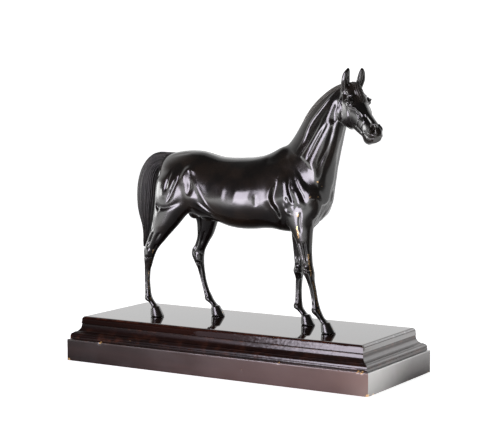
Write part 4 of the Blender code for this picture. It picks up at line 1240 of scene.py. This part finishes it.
plinth = {
    "length": 400.0,
    "width": 158.0,
    "skirtHeight": 25.8,
    "arris": 0.6,
    "frameDepth": 20.0,
    "ledge": 2.6,
    "bead": 3.1,
    "ovoloWidth": 3.0,
    "ovoloHeight": 4.3,
    "fillet": 0.8,
    "coveWidth": 6.6,
    "coveHeight": 9.5,
    "boardThickness": 8.7,
    "nosing": 3.8,
    "boardLean": 0.55,  # its edge leans in by this much below the nosing
    "gap": 0.3,
    "step": 1.25,  # spacing of the grid along each length
    "ripple": 0.05,  # hand-planed waviness
    "sharpFrom": 28,  # angle between faces that shows as a hard edge
}
# knocks that show the pale wood: side, place along it from its middle, height, radius, depth
knocks = [
    ("front", -198, 1.5, 2.0, 0.7),
    ("front", 199, 1.0, 2.6, 0.9),
    ("right", -77, 1.0, 3.0, 0.9),
    ("right", -66, 0.4, 2.2, 0.5),
    ("right", 20, 0.3, 1.6, 0.4),
    ("right", 74, 0.4, 1.8, 0.5),
    ("front", 192, 25.4, 2.0, 0.4),
    ("front", 187, 25.5, 1.5, 0.3),
    ("front", 90, 25.5, 1.2, 0.35),
    ("front", -152, 25.3, 1.6, 0.6),
    ("front", 43, 13.0, 0.9, 0.4),
    ("front", -110, 31.0, 0.8, 0.3),
    ("back", 60, 25.4, 1.8, 0.5),
    ("back", -140, 0.8, 2.2, 0.6),
    ("left", 30, 25.4, 1.6, 0.4),
    ("left", -70, 1.0, 2.4, 0.7),
]
boardKnocks = [
    (47, -66.6, 1.1), (57, -66.6, 1.3), (73, -66.6, 1.0), (77, -66.6, 1.5), (80, -66.6, 1.2),
    (114, -66.6, 1.4),
    (118, -66.6, 1.0), (160, -66.6, 1.3), (166, -66.6, 1.5), (187.6, -66.6, 1.6), (187.6, -30, 1.0),
    (187.6, 12, 1.1), (187.6, 41, 1.2), (-120, 66.6, 1.4), (20, 66.6, 1.2), (-187.6, 20, 1.3),
]


def arc(centre, radii, start, end, count):
    # points of an ellipse's arc, angles in degrees
    a = np.radians(np.linspace(start, end, count))
    return np.stack([centre[0] + radii[0] * np.cos(a), centre[1] + radii[1] * np.sin(a)], -1)


def alongProfile(points, spacing):
    # the closed profile with extra points on its long straights
    points = np.vstack([points, points[:1]])
    pieces = []
    for a, b in zip(points[:-1], points[1:]):
        count = max(1, int(np.hypot(*(b - a)) / spacing))
        pieces.append(a + (b - a) * (np.arange(count) / count)[:, None])
    return np.vstack(pieces)


def skirtProfile():
    # inset from the plinth's outer face, and height
    top, arris, deep = plinth["skirtHeight"] - plinth["gap"], plinth["arris"], plinth["frameDepth"]
    corner = arc((arris, top - arris), (arris, arris), 180, 90, 5)
    foot = arc((0.4, 0.4), (0.4, 0.4), 270, 180, 4)
    return alongProfile(np.vstack([foot, corner, [[deep, top], [deep, 0]]]), 1.4)


def mouldingProfile():
    # bead, ovolo, fillet and cove
    low = plinth["skirtHeight"]
    beadTop = low + plinth["bead"]
    ovoloTop = beadTop + plinth["ovoloHeight"]
    coveFoot = ovoloTop + plinth["fillet"]
    foot = plinth["ledge"] + plinth["ovoloWidth"]
    top = coveFoot + plinth["coveHeight"] - plinth["gap"]
    bead = arc((plinth["ledge"] + 0.5, beadTop - 0.5), (0.5, 0.5), 180, 90, 4)
    ovolo = arc((foot, beadTop), (plinth["ovoloWidth"], plinth["ovoloHeight"]), 172, 90, 9)
    cove = arc((foot + 0.4, top), (plinth["coveWidth"], top - coveFoot), -90, 0, 14)
    inner = plinth["frameDepth"]
    shape = [[[plinth["ledge"], low]], bead, ovolo, cove, [[inner, top], [inner, low]]]
    return alongProfile(np.vstack(shape), 1.4)


def sideFrame(side):
    # half length along the side, half depth to it, and its along and outward directions
    long, short = plinth["length"] / 2, plinth["width"] / 2
    return {
        "front": (long, short, (1, 0, 0), (0, -1, 0)),
        "right": (short, long, (0, 1, 0), (1, 0, 0)),
        "back": (long, short, (-1, 0, 0), (0, 1, 0)),
        "left": (short, long, (0, -1, 0), (-1, 0, 0)),
    }[side]


def woodPiece(name, points, faces, material, node, chip, rub):
    piece = pieceOf(name, points, faces, material, "dark_wood", node)
    storeValues(piece.data, chip=chip, rub=rub)
    piece.data.set_sharp_from_angle(angle=np.radians(plinth["sharpFrom"]))


def mitredLength(kind, side, profile, material):
    # place(u, k) = along * u * (half length - inset(k)) + outward * (half depth - inset(k))
    # so both ends are mitred
    halfLong, halfDeep, along, outward = sideFrame(side)
    along, outward = np.array(along, float), np.array(outward, float)
    u = np.linspace(-1, 1, int(2 * halfLong / plinth["step"]))[:, None]
    inset, height = profile.T
    seed = {"front": 1.0, "right": 2.3, "back": 3.7, "left": 5.1}[side]
    reach = u * (halfLong - inset - 0.12)
    fine = np.sin(reach / 7.3 + 2 * seed + height / 9)
    ripple = plinth["ripple"] * (np.sin(reach / 17 + seed) + 0.7 * fine)
    chip = np.zeros(reach.shape)
    dent = np.zeros(reach.shape)
    for where, place, high, radius, depth in knocks:
        if where == side:
            far = (reach - place) ** 2 + (height - high) ** 2
            hit = np.exp(-far / radius**2) * (inset < 9)
            chip = np.maximum(chip, hit)
            dent = np.maximum(dent, depth * hit)
    face = ((inset < plinth["frameDepth"] - 1) & (height > 0.5)).astype(float)
    out = (halfDeep - inset) + (ripple - plinth["ripple"]) * face * 0.5 - dent
    grid = reach[..., None] * along + out[..., None] * outward + np.array([0, 0, 1.0]) * height[None, :, None]
    points, faces = closedGrid(grid)
    turn = np.abs(np.gradient(np.unwrap(np.arctan2(np.gradient(height), np.gradient(inset)))))
    rub = np.tile(np.clip(turn / 0.5, 0, 1) * (inset < 14), (len(u), 1))
    rub = np.maximum(rub, np.exp(-((halfLong - inset - np.abs(reach)) / 1.2)) * (inset < 14))
    chip, rub = (np.append(values.ravel(), [0, 0]) for values in (chip, rub))
    woodPiece(f"{kind}_{side}_length", points, faces, material, f"{kind}_{side}", chip, rub)


def boardProfile():
    # from the middle of the underside out to the edge, up round the nosing and back to the middle of the top
    edge = plinth["ledge"] + plinth["ovoloWidth"] + plinth["coveWidth"]
    top = plinth["skirtHeight"] + plinth["bead"] + plinth["ovoloHeight"] + plinth["fillet"]
    top += plinth["coveHeight"] + plinth["boardThickness"]
    low, nosing, middle = top - plinth["boardThickness"], plinth["nosing"], plinth["width"] / 2
    under = [[p, low] for p in (middle, 60, 40, 25, edge + 1.0, edge + 0.3)]
    lean = plinth["boardLean"]
    wall = [[edge, low + 0.3], [edge + 0.35 * lean, low + 1.9], [edge + 0.7 * lean, low + 3.5]]
    round_ = arc((edge + nosing, top - nosing), (nosing - lean, nosing), 180, 90, 12)
    stops = (edge + nosing + 0.6, edge + nosing + 1.6, 19, 22, 27, 33, 40, 50, 60, 70, middle)
    flat = [[p, top] for p in stops]
    return np.vstack([under, wall, round_, flat])


def buildBoard(material):
    # rectangular rings: place(p, s) runs round the rectangle that is set in by inset(p)
    inset, height = boardProfile().T
    halfX, halfY = plinth["length"] / 2, plinth["width"] / 2
    longSteps = int(plinth["length"] / plinth["step"] / 1.4)
    shortSteps = int(plinth["width"] / plinth["step"] / 1.4)
    f = np.linspace(-1, 1, longSteps, endpoint=False)
    g = np.linspace(-1, 1, shortSteps, endpoint=False)
    unitX = np.concatenate([f, np.ones(shortSteps), -f, -np.ones(shortSteps)])
    unitY = np.concatenate([-np.ones(longSteps), g, np.ones(longSteps), -g])
    x = unitX[None, :] * (halfX - inset[:, None])
    y = unitY[None, :] * (halfY - inset[:, None])
    z = height[:, None] + 0 * x
    chip = np.zeros(x.shape)
    edgeHeight = height.max() - 0.9
    for placeX, placeY, radius in boardKnocks:
        # each chip is stretched along the edge that it is on
        stretchX, stretchY = (1, 0.3) if abs(placeX) > 180 else (0.3, 1)
        far = stretchX * (x - placeX) ** 2 + stretchY * (y - placeY) ** 2 + (z - edgeHeight) ** 2
        chip = np.maximum(chip, np.exp(-far / radius**2))
    # a chip takes a little off the edge: inwards by this share of x and y, and down by 0.3 mm
    pull = 1 - 0.35 * chip / 60
    grid = np.stack([x * pull, y * pull, z - 0.3 * chip], -1)
    faces = gridFaces(*x.shape)[0]
    corner = np.exp(-((halfX - np.abs(x)) + (halfY - np.abs(y)) - 2 * inset[:, None]) / 1.6)
    round_ = np.exp(-(((height - height.max() + 0.9) / 0.8) ** 2)) * (inset < 17)
    rub = np.maximum(round_[:, None] + 0 * x, corner * (inset < 16)[:, None])
    mesh = meshOf("board", grid.reshape(-1, 3), faces.tolist())
    storeValues(mesh, chip=chip, rub=rub)
    turnOutward(mesh, merge=0.01 * mm)
    piece = placePiece("top_board_polished", mesh, material, "dark_wood", "top_board")
    piece.data.set_sharp_from_angle(angle=np.radians(plinth["sharpFrom"]))


mahogany = {
    "dark": (0.0075, 0.0028, 0.0022, 1.0),
    "red": (0.030, 0.0095, 0.0065, 1.0),
    "rubbed": (0.16, 0.050, 0.024, 1.0),
    "pale": (0.62, 0.40, 0.15, 1.0),
}


# painted sheen on the skirt: the colours added at its least and most lit ends, the axis along the piece and
# its sign, then where along it in m the painted sheen starts and ends
paintedSkirtSheen = {
    "lengthwise": ((0.006, 0.003, 0.002, 1.0), (0.20, 0.128, 0.108, 1.0), "X", 1.0, -0.20, 0.26),
    "crosswise": ((0.03, 0.024, 0.022, 1.0), (0.36, 0.35, 0.34, 1.0), "Y", -1.0, -0.055, 0.085),
}

polish = {
    "thinTo": 0.03,  # in m along the plinth: the clear polish is thin up to here
    "fullFrom": 0.17,  # and full from here on to the right
    "thin": 0.05,
    "full": 0.85,
    "patchy": 0.16,  # how unevenly it starts
    "face": (0.0508, 0.0515),  # heights in m between which the full polish of the top takes over
}


def grainGroup():
    # long streaks of dark and red, edges rubbed lighter, and pale wood where a chip is knocked out
    group, given, result = newGroup(
        "mahoganyGrain",
        [
            ("Point", "NodeSocketVector", None),
            ("Stretch", "NodeSocketVector", None),
            ("Chip", "NodeSocketFloat", 0.0),
            ("Rub", "NodeSocketFloat", 0.0),
        ],
        [("Colour", "NodeSocketColor")] + plainValues("Roughness", "Coat", "Height"),
    )
    point, stretch, chip, rub = (given.outputs[key] for key in ("Point", "Stretch", "Chip", "Rub"))
    stretched = addNode(group, "ShaderNodeVectorMath", operation="MULTIPLY")
    feed(group, point, stretched.inputs[0])
    feed(group, stretch, stretched.inputs[1])
    bands = noiseNode(group, stretched.outputs[0], 26.0, 4.0)
    pores = noiseNode(group, stretched.outputs[0], 190.0, 3.0)
    specks = noiseNode(group, point, 700.0, 2.0)
    patches = noiseNode(group, point, 90.0, 3.0)
    colour = mixColour(group, rangeNode(group, bands, 0.36, 0.66), mahogany["dark"], mahogany["red"])
    rubbed = times(group, rub, rangeNode(group, patches, 0.45, 0.75))
    colour = mixColour(group, times(group, rubbed, 0.6), colour, mahogany["rubbed"])
    broken = plus(group, chip, centred(group, specks, 0.9))
    bare = rangeNode(group, broken, 0.5, 0.62)
    colour = mixColour(group, bare, colour, mahogany["pale"])
    rough = plus(group, rangeNode(group, bands, 0.3, 0.7, 0.27, 0.35), times(group, bare, 0.4))
    feed(group, colour, result.inputs["Colour"])
    feed(group, rough, result.inputs["Roughness"])
    feed(group, mathNode(group, "MULTIPLY_ADD", bare, -1.0, 1.0), result.inputs["Coat"])
    height = plus(group, times(group, pores, 0.5), times(group, bare, -1.5))
    feed(group, height, result.inputs["Height"])
    return group


mahoganyGrain = grainGroup()


def grainedMaterial(name, stretch):
    # the mahogany with its grain, chips and rubs, and the point split into its coordinates
    material, tree, shader = newMaterial(name)
    point = objectPoint(tree)
    marks = {key: addNode(tree, "ShaderNodeAttribute", attribute_name=key.lower()) for key in ("Chip", "Rub")}
    marks = {key: node.outputs["Fac"] for key, node in marks.items()}
    grain = placeGroup(tree, mahoganyGrain, Point=point, Stretch=stretch, **marks)
    apart = addNode(tree, "ShaderNodeSeparateXYZ")
    feed(tree, point, apart.inputs[0])
    return material, tree, shader, point, grain, apart


def mahoganyMaterial(name, stretch, gloss):
    # gloss is the polish's roughness, the depth of its orange peel, its strength and the wood's own shine
    material, tree, shader, point, grain, apart = grainedMaterial(name, stretch)
    feed(tree, grain.outputs["Colour"], shader.inputs["Base Color"])
    feed(tree, grain.outputs["Roughness"], shader.inputs["Roughness"])
    # the polish is thin at the left and starts in patches; the top face of the board keeps it all
    patches = centred(tree, noiseNode(tree, point, 330.0, 2.0), polish["patchy"])
    place = plus(tree, apart.outputs["X"], patches)
    thick = rangeNode(tree, place, polish["thinTo"], polish["fullFrom"], polish["thin"], polish["full"])
    thick = mathNode(tree, "MAXIMUM", thick, rangeNode(tree, apart.outputs["Z"], *polish["face"]))
    thick = times(tree, thick, gloss[2])
    feed(tree, times(tree, grain.outputs["Coat"], thick), shader.inputs["Coat Weight"])
    shader.inputs["Coat Roughness"].default_value = gloss[0]
    shader.inputs["Coat IOR"].default_value = 1.6
    shader.inputs["Specular IOR Level"].default_value = gloss[3]
    feed(tree, bumpNode(tree, grain.outputs["Height"], 0.08, 0.0003), shader.inputs["Normal"])
    peel = noiseNode(tree, point, 420.0, 2.0)
    feed(tree, bumpNode(tree, peel, 0.5, gloss[1]), shader.inputs["Coat Normal"])
    return material


def skirtMaterial(way, stretch):
    # the skirt gets a painted sheen: a tone added over its grain, dull brown at one end and pale towards its
    # right-hand front corner, standing in for reflected light
    material, tree, shader, point, grain, apart = grainedMaterial("skirt " + way, stretch)
    dull, pale, axis, sign, start, end = paintedSkirtSheen[way]
    along = times(tree, apart.outputs[axis], sign)
    place = plus(tree, along, centred(tree, noiseNode(tree, point, 14.0, 3.0), 0.12))
    # painted sheen: a lighter colour graded along the skirt that stands in for reflected light
    paintedSheen = mixColour(tree, rangeNode(tree, place, start, end), dull, pale)
    # the painted sheen is added over the grain, so chips and grain still show through
    feed(tree, mixColour(tree, 1.0, grain.outputs["Colour"], paintedSheen, "ADD"), shader.inputs["Base Color"])
    smudges = rangeNode(tree, noiseNode(tree, point, 45.0, 4.0), 0.4, 0.7, 0.0, 0.12)
    feed(tree, plus(tree, grain.outputs["Roughness"], smudges), shader.inputs["Roughness"])
    feed(tree, grain.outputs["Coat"], shader.inputs["Coat Weight"])
    shader.inputs["Coat Roughness"].default_value = 0.16
    feed(tree, bumpNode(tree, grain.outputs["Height"], 0.1, 0.0003), shader.inputs["Normal"])
    return material


def buildPlinth():
    grainWay = {"lengthwise": (0.08, 1.0, 1.0), "crosswise": (1.0, 0.08, 1.0)}
    gloss = {"lengthwise": (0.06, 0.00007, 1.0, 0.1), "crosswise": (0.2, 0.0001, 0.34, 0.15)}
    moulding = {way: mahoganyMaterial("moulding " + way, grainWay[way], gloss[way]) for way in grainWay}
    skirt = {way: skirtMaterial(way, grainWay[way]) for way in grainWay}
    for side in ("front", "right", "back", "left"):
        way = "lengthwise" if side in ("front", "back") else "crosswise"
        mitredLength("skirt", side, skirtProfile(), skirt[way])
        mitredLength("moulding", side, mouldingProfile(), moulding[way])
    buildBoard(mahoganyMaterial("board top", grainWay["lengthwise"], (0.012, 0.000025, 1.0, 0.0)))
    print("plinth: four skirts, four mouldings and the board")


buildPlinth()


# finishes for the carried-over pieces inside

hidden = {
    "pin_bronze": ("raw bronze pins", (0.33, 0.19, 0.08, 1), (0.50, 0.32, 0.15, 1), 240.0, 0.42, 1.0),
    "steel": ("oiled steel", (0.20, 0.20, 0.21, 1), (0.42, 0.42, 0.43, 1), 300.0, 0.36, 1.0),
    "screw_brass": ("tarnished brass", (0.34, 0.22, 0.07, 1), (0.62, 0.44, 0.16, 1), 260.0, 0.38, 1.0),
    "plain_wood": ("sawn pine", (0.38, 0.23, 0.11, 1), (0.60, 0.42, 0.22, 1), 60.0, 0.72, 0.0),
    "baize": ("green baize", (0.010, 0.055, 0.022, 1), (0.030, 0.12, 0.050, 1), 900.0, 0.95, 0.0),
}


def finishHidden():
    materials = {}
    for slot, (name, low, high, scale, rough, metal) in hidden.items():
        material, tree, shader = newMaterial(name)
        stretch = (0.12, 1.0, 1.0) if slot == "plain_wood" else None
        speckle = noiseNode(tree, objectPoint(tree), scale, 5.0, 0.6, stretch=stretch)
        colour = mixColour(tree, rangeNode(tree, speckle, 0.35, 0.65), low, high)
        feed(tree, colour, shader.inputs["Base Color"])
        feed(tree, rangeNode(tree, speckle, 0.3, 0.7, rough - 0.08, rough + 0.08), shader.inputs["Roughness"])
        shader.inputs["Metallic"].default_value = metal
        if slot == "baize":
            shader.inputs["Sheen Weight"].default_value = 0.5
        feed(tree, bumpNode(tree, speckle, 0.25, 0.0003), shader.inputs["Normal"])
        materials[slot] = material
    starts = {
        "stud_": "steel", "washer_": "steel", "nut_": "steel", "corner_block": "plain_wood",
        "bottom_board": "plain_wood", "base_screw": "screw_brass", "baize": "baize",
    }
    for name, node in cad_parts.items():
        slot = "pin_bronze" if name.endswith("_pin") else None
        slot = next((found for start, found in starts.items() if name.startswith(start)), slot)
        if slot:
            node.material_slots[0].material = materials[slot]
    print("hidden pieces finished")


finishHidden()
